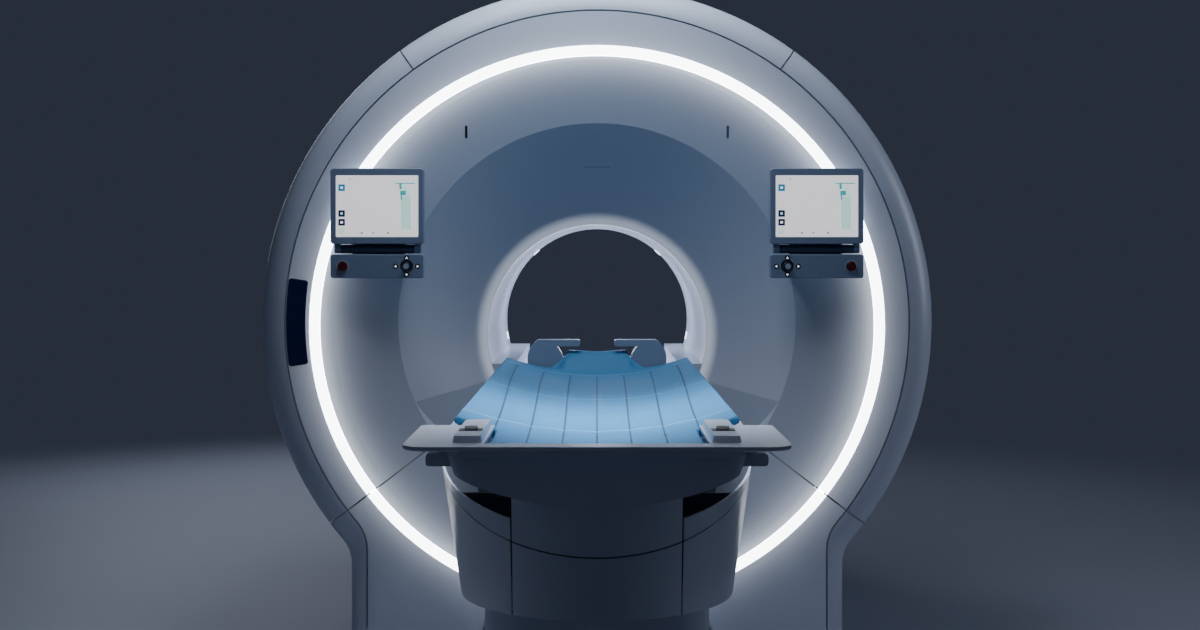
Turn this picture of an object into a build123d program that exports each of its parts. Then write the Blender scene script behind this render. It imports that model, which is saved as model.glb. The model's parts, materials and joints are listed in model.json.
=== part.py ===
from build123d import *
import math
import os

os.makedirs("parts", exist_ok=True)

# Whole-body magnetic resonance scanner: a round-faced magnet housing with a lit ring,
# and a patient table that lifts and slides into the bore. Millimetres.
# Origin: on the floor under the isocentre. +Y runs into the bore, +Z is up.

# Bore and casing
bore_r = 350                # clear radius of the bore liner
axis_z = 970                # height of the bore axis
disc_z = 1017               # height of the centre of the round face
front_y = -850              # plane of the face
back_y = 800                # plane of the rear cover
rim_r = 1033                # widest radius of the rim
rim_back_y = -640           # where the rim ends and the barrel starts
rim_round = 83              # rounding of the rim's front edge
rim_back_round = 36
seam_r = 950                # joint between face and rim covers
base_half = 757             # half width of the base
panel_half = 700            # half width of the lower front cover at the floor
waist_blend = 120           # hollow rounding between disc and base
toe_z = 45                  # toe space under the covers
wall = 8                    # moulded cover thickness
seam = 5                    # visible joint between covers
barrel_inset = 44           # barrel inside the rim
barrel_half = 735
back_round = 60
lip = 24                    # overlap of the rear cover's inner lip
side_seam_angle = 127       # joints of the lower cover, from the top
top_seam_angle = 36         # joints of the top rim cover, from the top

# Mouth of the bore
dish_r = 800                # edge of the shallow dish, inside the lit ring
funnel_r = 610              # edge of the steep funnel
funnel_y = -800
throat_r = 368              # edge of the flare ahead of the bore
throat_y = -600
liner_front_y = -585
liner_back_y = 582
liner_wall = 5
chin_r = 560                # foot of the docking hollow under the bore
crease_angle = 23.8         # docking hollow starts this far below the horizontal
rear_flare_r = 470

# Lit ring: a little wider than it is tall, its centre a little below the face's
ring_z = 1006
light_half = 859            # half width of its middle line
light_tall = 838            # half height of its middle line
light_w = 30
light_gap = 1.5
groove_depth = 28
strip_t = 3
strip_w = 20

# Magnet
vessel_r = 890
vessel_bore_r = 460
vessel_front_y = -560
vessel_back_y = 640
vessel_wall = 12
helium_inset = 45
coil_depth = 70
gradient_r = 375
contact_gap = 0.3           # between nested curved pieces
foot_x = 480
foot_w = 160
foot_len = 900
anchor_x = 600
anchor_y = 350
anchor_r = 14
foot_plate_t = 20

# Table: heights at the top of its lift, level with the bore
rail_z = 900
table_half = 280
rail_w = 12
flange_z = 880
dish_half = 255
dish_sag = 42
board_t = 12
head_y = -790
foot_y = -3044
foot_step_y = foot_y + 44     # the dish is narrower past this, inside the shell's corners
foot_step_half = 205
bridge_gap = 6
floor_clear = 12            # tabletop's dish above the bridge's floor
bridge_wall = 8
ledge_half = 262
lift_travel = 360

# Foot plate and latches
plate_half = 335
plate_front_y = foot_y - 49
plate_back_y = plate_front_y + 360
plate_t = 8
notch_half = 195
notch_front_y = foot_y + 4
boss_in = 200
boss_out = 252
boss_h = 12
latch_r = 12
latch_x = 226
latch_y = plate_front_y + 163
latch_w = 22
pin_fit = 0.05              # radial clearance of a pin in its hole

# Upper shell of the table
shell_half = 262
shell_top_z = 878
shell_front_y = foot_y - 11
shell_back_y = -890
shell_side_z = 844
shell_keel_z = 790
shell_low_half = 250
skin = 6                    # table cover thickness
shell_corner = 45

# Lower tub of the table: half ellipse in plan
tub_half = 384
tub_long = 1520
tub_centre_y = -1525
tub_back_y = -880
tub_top_z = 750
tub_seam_z = 702            # at the nose; the joint rises towards the back
tub_seam_rise = 0.045
tub_low_z = 430
tub_low_half = 334
tub_low_long = 1460
tub_floor_z = 440
tub_nose_floor_z = 585
floor_bend_y = -2000        # the floor rises ahead of this towards the nose
panel_x = 157
tub_seam = 3

# Plinth, telescoping in three stages
plinth_half = 235
plinth_front_y = -2520
plinth_back_y = -1120
plinth_corner = 100
plinth_step = 20
plinth_skin = 5
sleeve_low_z = 290
sleeve_top_z = 570
cover_top_z = 400
base_t = 20
table_anchor_x = 160
table_anchor_y = 500
table_anchor_r = 9
column_y = -1850

# Table frame and drive
beam_x = 140
beam_w = 45
beam_low_z = 790
beam_top_z = 830
frame_front_y = foot_y + 124
frame_back_y = -940
cross_l = 50
cross_lift = 12
bearer_w = 14
bearer_t = 10
pulley_r = 28
pulley_z = 800
pulley_x = 117
belt_w = 22
belt_t = 2.5
drive_y = -1100
idler_y = frame_front_y + 120
shaft_r = 8

# Displays beside the bore
display_x = 662
display_z = 1369
display_w = 281
display_h = 228
display_front_y = -905
display_t = 34
screen_w = 248
screen_h = 186
screen_t = 3
panel_z = 1188
panel_h = 72
hinge_z = 1240
hinge_y = -884
hinge_r = 13
hinge_pin_r = 5
stop_x = 103
stop_r = 15
stick_x = 89
stick_r = 13
arrow_x = 33
arrow_z = 25
button_fit = 0.4


def write(piece, name):
    # labels a finished piece and writes its file
    piece.part.label = name
    export_step(piece.part, f"parts/{name}.step")


def write_group(pieces, name):
    # several separate solids of one kind in one node
    group = Compound([solid for piece in pieces for solid in piece.solids()])
    group.label = name
    export_step(group, f"parts/{name}.step")


def front_plane(y):
    # sketch plane facing the viewer at depth y; local x is +X, local y is +Z
    return Plane.XZ.offset(-y)


def tube(y0, y1, outer, inner=0.0, z=axis_z):
    # round bar or tube along the bore, from y0 back to y1
    with BuildPart() as solid:
        with BuildSketch(front_plane(y1)):
            with Locations((0, z)):
                Circle(outer)
                if inner:
                    Circle(inner, mode=Mode.SUBTRACT)
        extrude(amount=y1 - y0)
    return solid.part


def block(x0, x1, y0, y1, z0, z1):
    # plain block between two corners
    with BuildPart() as solid:
        with BuildSketch(Plane.XY.offset(z0)):
            with Locations(((x0 + x1) / 2, (y0 + y1) / 2)):
                Rectangle(x1 - x0, y1 - y0)
        extrude(amount=z1 - z0)
    return solid.part


def side_block(sign, near, far, y0, y1, z0, z1):
    # block on one side of the middle plane, from near to far off it
    return block(min(sign * near, sign * far), max(sign * near, sign * far), y0, y1, z0, z1)


def draw_casing(outline, radius, half_width, blend):
    # a disc standing on a base, cut off at the toe space
    with Locations((0, disc_z)):
        Circle(radius)
    with Locations((0, toe_z)):
        Rectangle(2 * half_width, disc_z - toe_z, align=(Align.CENTER, Align.MIN))
        Rectangle(2 * radius, radius, align=(Align.CENTER, Align.MAX), mode=Mode.SUBTRACT)
    waist_z = disc_z - math.sqrt(radius**2 - half_width**2)
    waist = [v for v in outline.vertices() if abs(v.Y - waist_z) < 1]
    fillet(waist, blend)


def casing(radius, half_width, blend, y0, y1, front_round=0.0, back_round=0.0):
    # solid with the casing's outline, its front or back edge rounded
    with BuildPart() as solid:
        with BuildSketch(front_plane(y1)) as outline:
            draw_casing(outline, radius, half_width, blend)
        extrude(amount=y1 - y0)
        for place, radius_here in ((0, front_round), (-1, back_round)):
            if radius_here:
                face = solid.faces().sort_by(Axis.Y)[place]
                rounded = [e for e in face.edges() if e.center().Z > toe_z + 1]
                fillet(rounded, radius_here)
    return solid.part


def ring_band(y0, y1, half):
    # oval band along the middle line of the lit ring, from y0 back to y1
    with BuildPart() as solid:
        with BuildSketch(front_plane(y1)):
            with Locations((0, ring_z)):
                Ellipse(light_half + half, light_tall + half)
                Ellipse(light_half - half, light_tall - half, mode=Mode.SUBTRACT)
        extrude(amount=y1 - y0)
    return solid.part


def cone(y0, r0, z0, y1, r1, z1):
    # cone between two circles that need not share an axis
    with BuildPart() as solid:
        for y, r, z in ((y0, r0, z0), (y1, r1, z1)):
            with BuildSketch(front_plane(y)):
                with Locations((0, z)):
                    Circle(r)
        loft(ruled=True)
    return solid.part


def mouth(grow):
    # hollow of the face: dish, funnel, flare, bore and the docking hollow under them
    slope = math.cos(math.radians(crease_angle))
    dock_front = funnel_r * slope
    dock_back = throat_r * slope + grow
    with BuildPart() as dock:
        with BuildSketch(Plane.XY.offset(axis_z)):
            with BuildLine():
                Polyline(
                    (-dock_front, funnel_y + grow),
                    (dock_front, funnel_y + grow),
                    (dock_back, throat_y + grow),
                    (-dock_back, throat_y + grow),
                    close=True,
                )
            make_face()
        extrude(amount=-funnel_r)
        add(
            cone(funnel_y + grow, funnel_r, disc_z, throat_y + grow, chin_r + grow, disc_z),
            mode=Mode.INTERSECT,
        )
    with BuildPart() as hollow:
        add(cone(front_y + grow, dish_r, disc_z, funnel_y + grow, funnel_r, disc_z))
        add(cone(funnel_y + grow, funnel_r, disc_z, throat_y + grow, throat_r + grow, axis_z))
        add(
            cone(
                throat_y + grow, throat_r + grow, axis_z,
                liner_front_y + grow, bore_r + grow, axis_z,
            )
        )
        add(tube(liner_front_y + grow, back_y, bore_r + grow))
        add(dock.part)
    return hollow.part


def wedge(angle, gap, downward):
    # prism over a sector about the disc centre, its flanks moved in by gap
    reach = 3 * rim_r
    turn = math.radians(angle)
    apex = gap / math.sin(turn if not downward else math.pi - turn)
    side = reach * math.sin(turn)
    rise = reach * math.cos(turn)
    far = -reach if downward else reach
    tip = -apex if downward else apex
    with BuildPart() as solid:
        with BuildSketch(front_plane(back_y)):
            with BuildLine():
                Polyline(
                    (0, disc_z + tip),
                    (side, disc_z + tip + rise),
                    (side, disc_z + far),
                    (-side, disc_z + far),
                    (-side, disc_z + tip + rise),
                    close=True,
                )
            make_face()
        extrude(amount=3 * back_y)
    return solid.part


# Cover shell of the front: outer form less the same form moved in by one wall
groove_half = light_w / 2 + light_gap
groove_back = front_y + groove_depth
barrel_r = rim_r - barrel_inset

front_outer = casing(
    rim_r, base_half, waist_blend, front_y, rim_back_y, rim_round, rim_back_round
)
front_inner = casing(
    rim_r - wall, base_half - wall, waist_blend + wall,
    front_y + wall, rim_back_y - wall, rim_round - wall, rim_back_round - wall,
)
barrel_outline = casing(
    barrel_r + contact_gap, barrel_half + contact_gap, waist_blend,
    rim_back_y - 4 * wall, back_y,
)

with BuildPart() as inner_space:
    add(front_inner)
    add(mouth(wall), mode=Mode.SUBTRACT)
    add(ring_band(front_y, groove_back + wall, groove_half + wall), mode=Mode.SUBTRACT)

slot_x = 400
slot_z = 1598
slot_w = 8
slot_h = 40
mic_z = 1496
mic_w = 82
mic_h = 4

with BuildPart() as face_solid:
    add(front_outer)
    add(mouth(0), mode=Mode.SUBTRACT)

# the funnel goes on behind the rim, as far as the liner
throat_start_y = rim_back_y - 4 * wall
with BuildPart() as throat_shell:
    add(mouth(wall))
    add(mouth(0), mode=Mode.SUBTRACT)
    add(
        block(-rim_r, rim_r, throat_start_y - 1, liner_front_y - 1, 0, 2 * rim_r),
        mode=Mode.INTERSECT,
    )

with BuildPart() as front_shell:
    add(face_solid.part)
    add(ring_band(front_y, groove_back, groove_half), mode=Mode.SUBTRACT)
    add(inner_space.part, mode=Mode.SUBTRACT)
    add(barrel_outline, mode=Mode.SUBTRACT)

face_zone = casing(
    seam_r - seam / 2, panel_half - seam / 2, waist_blend, front_y - wall, liner_front_y
)
rim_zone = casing(
    seam_r + seam / 2, panel_half + seam / 2, waist_blend, front_y - wall, rim_back_y - wall
)
with BuildPart() as face_shell:
    add(front_shell.part)
    add(throat_shell.part)
    add(face_zone, mode=Mode.INTERSECT)

lower_in = wedge(side_seam_angle, seam / 2, True)
lower_out = wedge(side_seam_angle, -seam / 2, True)
top_in = wedge(top_seam_angle, seam / 2, False)
top_out = wedge(top_seam_angle, -seam / 2, False)

with BuildPart() as front_cover_upper:
    add(face_shell.part)
    add(lower_out, mode=Mode.SUBTRACT)
    # sensor slots beside the funnel and the microphone slot above it
    with BuildSketch(front_plane(front_y - wall)):
        with Locations((-slot_x, slot_z), (slot_x, slot_z)):
            RectangleRounded(slot_w, slot_h, slot_w / 2 - 0.1)
        with Locations((0, mic_z)):
            RectangleRounded(mic_w, mic_h, mic_h / 2 - 0.1)
    extrude(amount=-150, mode=Mode.SUBTRACT)
write(front_cover_upper, "front_cover_upper")

with BuildPart() as front_cover_lower:
    add(face_shell.part)
    add(lower_in, mode=Mode.INTERSECT)
write(front_cover_lower, "front_cover_lower")

with BuildPart() as rim_shell:
    add(front_shell.part)
    add(rim_zone, mode=Mode.SUBTRACT)

with BuildPart() as rim_cover_top:
    add(rim_shell.part)
    add(top_in, mode=Mode.INTERSECT)
write(rim_cover_top, "rim_cover_top")

rim_sides = []
base_sides = []
barrel_sides = []
for sign in (-1, 1):
    x0 = min(0, sign * 2 * rim_r)
    x1 = max(0, sign * 2 * rim_r)
    half = block(x0, x1, front_y - wall, back_y, -rim_r, 3 * rim_r)
    with BuildPart() as rim_cover_side:
        add(rim_shell.part)
        add(half, mode=Mode.INTERSECT)
        add(top_out, mode=Mode.SUBTRACT)
        add(lower_out, mode=Mode.SUBTRACT)
    rim_sides.append(rim_cover_side.part)

    with BuildPart() as base_cover:
        add(rim_shell.part)
        add(half, mode=Mode.INTERSECT)
        add(lower_in, mode=Mode.INTERSECT)
    base_sides.append(base_cover.part)

    # barrel cover: half of the housing behind the rim, split along the top
    gap_x = sign * seam / 2
    barrel_half_space = block(
        min(gap_x, sign * 2 * rim_r), max(gap_x, sign * 2 * rim_r), front_y, back_y, 0, 3 * rim_r
    )
    with BuildPart() as barrel_cover:
        add(
            casing(
                barrel_r, barrel_half, waist_blend,
                rim_back_y - 2 * wall, back_y - back_round,
            )
        )
        add(
            casing(
                barrel_r - wall, barrel_half - wall, waist_blend + wall,
                rim_back_y - 2 * wall, back_y - back_round,
            ),
            mode=Mode.SUBTRACT,
        )
        add(barrel_half_space, mode=Mode.INTERSECT)
    barrel_sides.append(barrel_cover.part)
write_group(rim_sides, "rim_side_covers")
write_group(base_sides, "base_covers")
write_group(barrel_sides, "barrel_covers")

# Rear cover with its own flare, and a lip that slips into the barrel
rear_start = back_y - back_round + seam
rear_round = back_round - 2 * seam
inner_r = barrel_r - wall
inner_half = barrel_half - wall
inner_blend = waist_blend + wall
lip_start = back_y - back_round - lip
with BuildPart() as rear_lip:
    add(
        casing(
            inner_r - contact_gap, inner_half - contact_gap, inner_blend,
            lip_start, rear_start + wall / 2,
        )
    )
    add(casing(inner_r + 2, inner_half + 2, inner_blend, rear_start, rear_start + wall / 2))
    add(
        casing(
            inner_r - wall, inner_half - wall, inner_blend + wall,
            lip_start, rear_start + wall / 2,
        ),
        mode=Mode.SUBTRACT,
    )

with BuildPart() as rear_panel:
    add(casing(barrel_r, barrel_half, waist_blend, rear_start, back_y, 0, rear_round))
    add(
        casing(
            inner_r, inner_half, inner_blend, rear_start, back_y - wall, 0, rear_round - wall
        ),
        mode=Mode.SUBTRACT,
    )
    add(rear_lip.part)
    add(
        cone(
            liner_back_y, bore_r + 2 * wall + contact_gap, axis_z,
            back_y, rear_flare_r + wall + contact_gap, axis_z,
        ),
        mode=Mode.SUBTRACT,
    )

with BuildPart() as rear_flare:
    add(cone(liner_back_y, bore_r + 2 * wall, axis_z, back_y, rear_flare_r + wall, axis_z))
    add(
        cone(
            liner_back_y, bore_r + liner_wall + contact_gap, axis_z, back_y, rear_flare_r, axis_z
        ),
        mode=Mode.SUBTRACT,
    )
write_group((rear_panel.part, rear_flare.part), "rear_cover")

# Frame behind the covers: a ring under the rim joint, on arms and posts from the magnet
ring_in = seam_r - 25
ring_out = seam_r + 22
post_out = 852
post_in = 808
post_w = 40
arm_t = 18
arm_front_y = groove_back + wall + contact_gap
with BuildPart() as frame_ring:
    add(tube(front_y + wall, arm_front_y + arm_t, ring_out, ring_in, disc_z))
    with BuildSketch(front_plane(arm_front_y + arm_t)):
        with Locations((0, disc_z)):
            with PolarLocations((post_in + ring_in + 10) / 2, 8, start_angle=22.5):
                Rectangle(ring_in + 10 - post_in, post_w)
    extrude(amount=arm_t)
    add(front_inner, mode=Mode.INTERSECT)

with BuildPart() as cover_frame:
    add(frame_ring.part)
    with BuildSketch(front_plane(vessel_front_y)):
        with Locations((0, disc_z)):
            with PolarLocations((post_in + post_out) / 2, 8, start_angle=22.5):
                Rectangle(post_out - post_in, post_w)
    extrude(amount=vessel_front_y - arm_front_y)
write(cover_frame, "cover_frame")

# Lit ring: a strip of lamps in the groove under a frosted ring, split with the covers
with BuildPart() as light_strip:
    add(ring_band(groove_back - strip_t, groove_back, strip_w / 2))
write(light_strip, "light_strip")

diffuser = ring_band(front_y - 1, groove_back - strip_t, light_w / 2)
with BuildPart() as ring_upper:
    add(diffuser)
    add(lower_out, mode=Mode.SUBTRACT)

with BuildPart() as ring_lower:
    add(diffuser)
    add(lower_in, mode=Mode.INTERSECT)
write_group((ring_upper.part, ring_lower.part), "light_ring")

# Bore liner with lamp holes near its far end
lamp_r = 15
lamp_y = liner_back_y - 70
lamp_angles = (42, 100, 260, 318)       # from the top
with BuildPart() as bore_liner:
    add(tube(liner_front_y, liner_back_y, bore_r + liner_wall, bore_r))
    for angle in lamp_angles:
        spot = Plane(
            origin=(0, lamp_y, axis_z),
            x_dir=(0, 1, 0),
            z_dir=(math.sin(math.radians(angle)), 0, math.cos(math.radians(angle))),
        )
        with BuildSketch(spot):
            Circle(lamp_r + contact_gap)
        extrude(amount=bore_r + 2 * liner_wall, mode=Mode.SUBTRACT)
write(bore_liner, "bore_liner")

with BuildPart() as bore_lamps:
    for angle in lamp_angles:
        spot = Plane(
            origin=(0, lamp_y, axis_z),
            x_dir=(0, 1, 0),
            z_dir=(math.sin(math.radians(angle)), 0, math.cos(math.radians(angle))),
        )
        with BuildSketch(spot.offset(bore_r - 3)):
            Circle(lamp_r)
        extrude(amount=liner_wall + 2)
write(bore_lamps, "bore_lamps")

# Bridge: a ledge under each edge of the tabletop and a floor between them, moulded shells
dish_r_in = (dish_half**2 + dish_sag**2) / (2 * dish_sag)
dish_low_z = flange_z + board_t - dish_sag
bridge_floor_z = dish_low_z - board_t - floor_clear
ledge_z = flange_z - bridge_gap


def bridge_form(x0, x1, top_z, inset):
    # the bore's lower segment between two upright planes, its walls moved in
    low_z = axis_z - bore_r
    with BuildPart() as solid:
        with BuildSketch(front_plane(liner_back_y)):
            with Locations((0, axis_z)):
                Circle(bore_r - contact_gap - inset)
            with Locations(((x0 + x1) / 2, low_z)):
                Rectangle(
                    x1 - x0 - 2 * inset, top_z - inset - low_z,
                    align=(Align.CENTER, Align.MIN), mode=Mode.INTERSECT,
                )
        extrude(amount=liner_back_y - liner_front_y - inset)
    return solid.part


bridge_pieces = []
for x0, x1, top_z in (
    (-bore_r, -ledge_half, ledge_z),
    (-ledge_half, ledge_half, bridge_floor_z),
    (ledge_half, bore_r, ledge_z),
):
    with BuildPart() as bridge_piece:
        add(bridge_form(x0, x1, top_z, 0))
        add(bridge_form(x0, x1, top_z, bridge_wall), mode=Mode.SUBTRACT)
    bridge_pieces.append(bridge_piece.part)
write_group(bridge_pieces, "bore_bridge")

# Magnet: vacuum vessel, helium vessel on supports, windings, and the coils in its bore
turret_y = 250
turret_half = 130
turret_h = 45
turret_round = 15
turret_z = axis_z + vessel_r + turret_h
with BuildPart() as cryostat_vessel:
    add(
        block(
            -turret_half, turret_half, turret_y - turret_half, turret_y + turret_half,
            turret_z - turret_half, turret_z,
        )
    )
    fillet(cryostat_vessel.faces().sort_by(Axis.Z)[-1].edges(), turret_round)
    add(tube(vessel_front_y, vessel_back_y, vessel_r, vessel_bore_r))
    add(
        tube(
            vessel_front_y + vessel_wall, vessel_back_y - vessel_wall,
            vessel_r - vessel_wall, vessel_bore_r + vessel_wall,
        ),
        mode=Mode.SUBTRACT,
    )
write(cryostat_vessel, "cryostat_vessel")

helium_front = vessel_front_y + vessel_wall + helium_inset
helium_back = vessel_back_y - vessel_wall - helium_inset
helium_r = vessel_r - vessel_wall - helium_inset
helium_bore_r = vessel_bore_r + vessel_wall + 20
helium_wall = 8
with BuildPart() as helium_vessel:
    add(tube(helium_front, helium_back, helium_r, helium_bore_r))
    add(
        tube(
            helium_front + helium_wall, helium_back - helium_wall,
            helium_r - helium_wall, helium_bore_r + helium_wall,
        ),
        mode=Mode.SUBTRACT,
    )
    # support pegs to the vacuum vessel's end plates
    for peg_y, reach in ((helium_front, helium_inset), (helium_back, -helium_inset)):
        with BuildSketch(front_plane(peg_y)):
            with Locations((0, axis_z)):
                with PolarLocations((helium_r + helium_bore_r) / 2, 6):
                    Circle(14)
        extrude(amount=reach)
write(helium_vessel, "helium_vessel")

# Six windings on the inner tube of the helium vessel
winding_r = helium_bore_r + helium_wall
with BuildPart() as magnet_coils:
    pitch = (helium_back - helium_front - 2 * helium_wall) / 6
    for place in range(6):
        start = helium_front + helium_wall + pitch * (place + 0.2)
        add(tube(start, start + 0.6 * pitch, winding_r + coil_depth, winding_r + contact_gap))
write(magnet_coils, "magnet_coils")

with BuildPart() as gradient_coil:
    add(
        tube(
            vessel_front_y + 10, vessel_back_y - 60, vessel_bore_r - contact_gap, gradient_r
        )
    )
write(gradient_coil, "gradient_coil")

with BuildPart() as body_coil:
    body_front = liner_front_y + 60
    body_back = liner_back_y - 60
    add(tube(body_front, body_back, gradient_r - contact_gap, bore_r + liner_wall + contact_gap))
    with BuildSketch(Plane.XY.offset(axis_z)):
        with Locations((0, (body_front + body_back) / 2)):
            Rectangle(60, (body_back - body_front) * 0.7)
    window = extrude(amount=2 * gradient_r, mode=Mode.PRIVATE)
    for step in range(16):
        add(window.rotate(Axis((0, 0, axis_z), (0, 1, 0)), 22.5 * step), mode=Mode.SUBTRACT)
write(body_coil, "body_coil")

# Cold head on the vessel's turret, under the covers
with BuildPart() as cold_head:
    with BuildSketch(Plane.XY.offset(turret_z)):
        with Locations((-60, turret_y)):
            Circle(70)
    extrude(amount=12)
    with BuildSketch(Plane.XY.offset(turret_z + 12)):
        with Locations((-60, turret_y)):
            Circle(42)
    extrude(amount=26)
write(cold_head, "cold_head")

# Feet under the vessel with their floor anchors
feet = []
for sign in (-1, 1):
    with BuildPart() as magnet_foot:
        with BuildSketch(front_plane(foot_len / 2)):
            with BuildLine():
                Polyline(
                    (sign * (foot_x - foot_w / 2), 0),
                    (sign * (anchor_x + 50), 0),
                    (sign * (anchor_x + 50), foot_plate_t),
                    (sign * (foot_x + foot_w / 2), foot_plate_t + 60),
                    (sign * (foot_x + foot_w / 2), 400),
                    (sign * (foot_x - foot_w / 2), 400),
                    close=True,
                )
            make_face()
        extrude(amount=foot_len)
        add(tube(-foot_len, foot_len, vessel_r + contact_gap), mode=Mode.SUBTRACT)
        with BuildSketch(Plane.XY.offset(foot_plate_t)):
            for y in (-anchor_y, anchor_y):
                with Locations((sign * anchor_x, y)):
                    Rectangle(90, 90)
        extrude(amount=100, mode=Mode.SUBTRACT)
        with BuildSketch(Plane.XY):
            with Locations((sign * anchor_x, -anchor_y), (sign * anchor_x, anchor_y)):
                Circle(anchor_r)
        extrude(amount=foot_plate_t, mode=Mode.SUBTRACT)
    feet.append(magnet_foot.part)
write_group(feet, "magnet_feet")


# Tabletop: a dished board with a rail along each edge
rail_in = table_half - rail_w
dish_edge_z = flange_z + board_t


def dish_section(low, high, half):
    # region between two parallel dish arcs, given their lowest heights
    rise = dish_r_in - math.sqrt(dish_r_in**2 - half**2)
    with BuildSketch(front_plane(head_y)) as section:
        with BuildLine():
            ThreePointArc((-half, low + rise), (0, low), (half, low + rise))
            Line((half, low + rise), (half, high + rise))
            ThreePointArc((half, high + rise), (0, high), (-half, high + rise))
            Line((-half, high + rise), (-half, low + rise))
        make_face()
    return section.sketch


def under_dish(gap):
    # everything above the dish's underside, less a gap: cuts what carries the tabletop
    with BuildPart() as solid:
        extrude(
            dish_section(dish_low_z - board_t - gap, dish_low_z + 200, dish_half),
            amount=head_y - plate_front_y,
        )
    return solid.part


clamp_y = idler_y + 70
with BuildPart() as tabletop:
    extrude(dish_section(dish_low_z - board_t, dish_low_z, dish_half), amount=head_y - foot_y)
    with BuildSketch(front_plane(head_y)):
        for sign in (-1, 1):
            with Locations((sign * (dish_half + table_half) / 2, (flange_z + dish_edge_z) / 2)):
                Rectangle(table_half - dish_half, dish_edge_z - flange_z)
            with Locations((sign * (rail_in + table_half) / 2, (dish_edge_z + rail_z) / 2)):
                Rectangle(rail_w, rail_z - dish_edge_z)
    extrude(amount=head_y - foot_y)
    # the foot plate lies over the foot end
    add(
        block(
            -plate_half, plate_half, plate_front_y, plate_back_y, rail_z - plate_t, rail_z + 50
        ),
        mode=Mode.SUBTRACT,
    )
    for sign in (-1, 1):
        add(
            side_block(sign, foot_step_half, plate_half, plate_front_y, foot_step_y, 0, rail_z),
            mode=Mode.SUBTRACT,
        )
    # lug that the drive belt pulls
    add(
        block(
            pulley_x - belt_w / 2, pulley_x + belt_w / 2, clamp_y - 30, clamp_y + 30,
            pulley_z + pulley_r + belt_t + 2 * contact_gap, dish_low_z + 4,
        )
    )
write(tabletop, "tabletop")

# Foot plate: a U-shaped plate round the mattress with raised bosses for the latches
boss_top_z = rail_z + boss_h
with BuildPart() as foot_plate:
    with BuildSketch(Plane.XY.offset(rail_z - plate_t)) as plan:
        with Locations((0, (plate_front_y + plate_back_y) / 2)):
            Rectangle(2 * plate_half, plate_back_y - plate_front_y)
        fillet(plan.vertices().group_by(Axis.Y)[0], 45)
        fillet(plan.vertices().group_by(Axis.Y)[-1], 12)
        with Locations((0, (notch_front_y + plate_back_y + 20) / 2)):
            Rectangle(2 * notch_half, plate_back_y + 20 - notch_front_y, mode=Mode.SUBTRACT)
    extrude(amount=plate_t)
    rim_edges = foot_plate.faces().sort_by(Axis.Z)[0].edges()
    fillet(rim_edges, 4)
    for sign in (-1, 1):
        with BuildSketch(Plane.XY.offset(rail_z)):
            with Locations((sign * (boss_in + boss_out) / 2, (notch_front_y + plate_back_y) / 2)):
                RectangleRounded(
                    boss_out - boss_in, plate_back_y - notch_front_y - 16, 14
                )
        extrude(amount=boss_h, taper=12)
    for sign in (-1, 1):
        # latch pocket and the slot behind it
        with BuildSketch(Plane.XY.offset(boss_top_z)):
            with Locations((sign * latch_x, latch_y)):
                Rectangle(latch_w + 2, 2 * latch_r + 6)
        extrude(amount=-boss_h - 4, mode=Mode.SUBTRACT)
        with BuildSketch(Plane.XY.offset(boss_top_z)):
            with Locations((sign * latch_x, latch_y + 70)):
                RectangleRounded(20, 6, 2)
        extrude(amount=-boss_h, mode=Mode.SUBTRACT)
        with BuildSketch(Plane.YZ.offset(sign * latch_x - latch_w / 2 - 8)):
            with Locations((latch_y, boss_top_z - 5)):
                Circle(2 + pin_fit)
        extrude(amount=latch_w + 16, mode=Mode.SUBTRACT)
write(foot_plate, "foot_plate")

for side_name, sign in (("left", -1), ("right", 1)):
    # half-round thumb latch on its own pin
    with BuildPart() as thumb_latch:
        with BuildSketch(Plane.YZ.offset(sign * latch_x - latch_w / 2)):
            with Locations((latch_y, boss_top_z - 5)):
                Circle(latch_r)
                with Locations((0, -latch_r - 4)):
                    Rectangle(3 * latch_r, 2 * latch_r, mode=Mode.SUBTRACT)
        extrude(amount=latch_w)
        with BuildSketch(Plane.YZ.offset(sign * latch_x - latch_w / 2 - 7)):
            with Locations((latch_y, boss_top_z - 5)):
                Circle(2)
        extrude(amount=latch_w + 14)
    write(thumb_latch, f"thumb_latch_{side_name}")

# Mattress: plain dished pad, narrow at the foot, with a raised head rest
mattress_half = 262
mattress_foot_half = 188
mattress_t = 18
mattress_head_y = -908
pillow_y = -800
pillow_half = 96
pillow_top_z = 930
pad_low_z = dish_low_z + 0.5
with BuildPart() as pillow:
    add(block(-pillow_half, pillow_half, mattress_head_y, pillow_y, 0, pillow_top_z))
    add(
        tube(mattress_head_y, pillow_y, dish_r_in, 0, pad_low_z + dish_r_in),
        mode=Mode.INTERSECT,
    )

with BuildPart() as mattress:
    extrude(
        dish_section(pad_low_z, pad_low_z + mattress_t, mattress_half),
        amount=head_y - (notch_front_y + 6),
    )
    add(
        block(-table_half, table_half, mattress_head_y, 0, 0, 2 * rail_z),
        mode=Mode.SUBTRACT,
    )
    for sign in (-1, 1):
        add(
            side_block(
                sign, mattress_foot_half, table_half, foot_y, plate_back_y + 12, 0, 2 * rail_z
            ),
            mode=Mode.SUBTRACT,
        )
    add(pillow.part)
write(mattress, "mattress")

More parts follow.
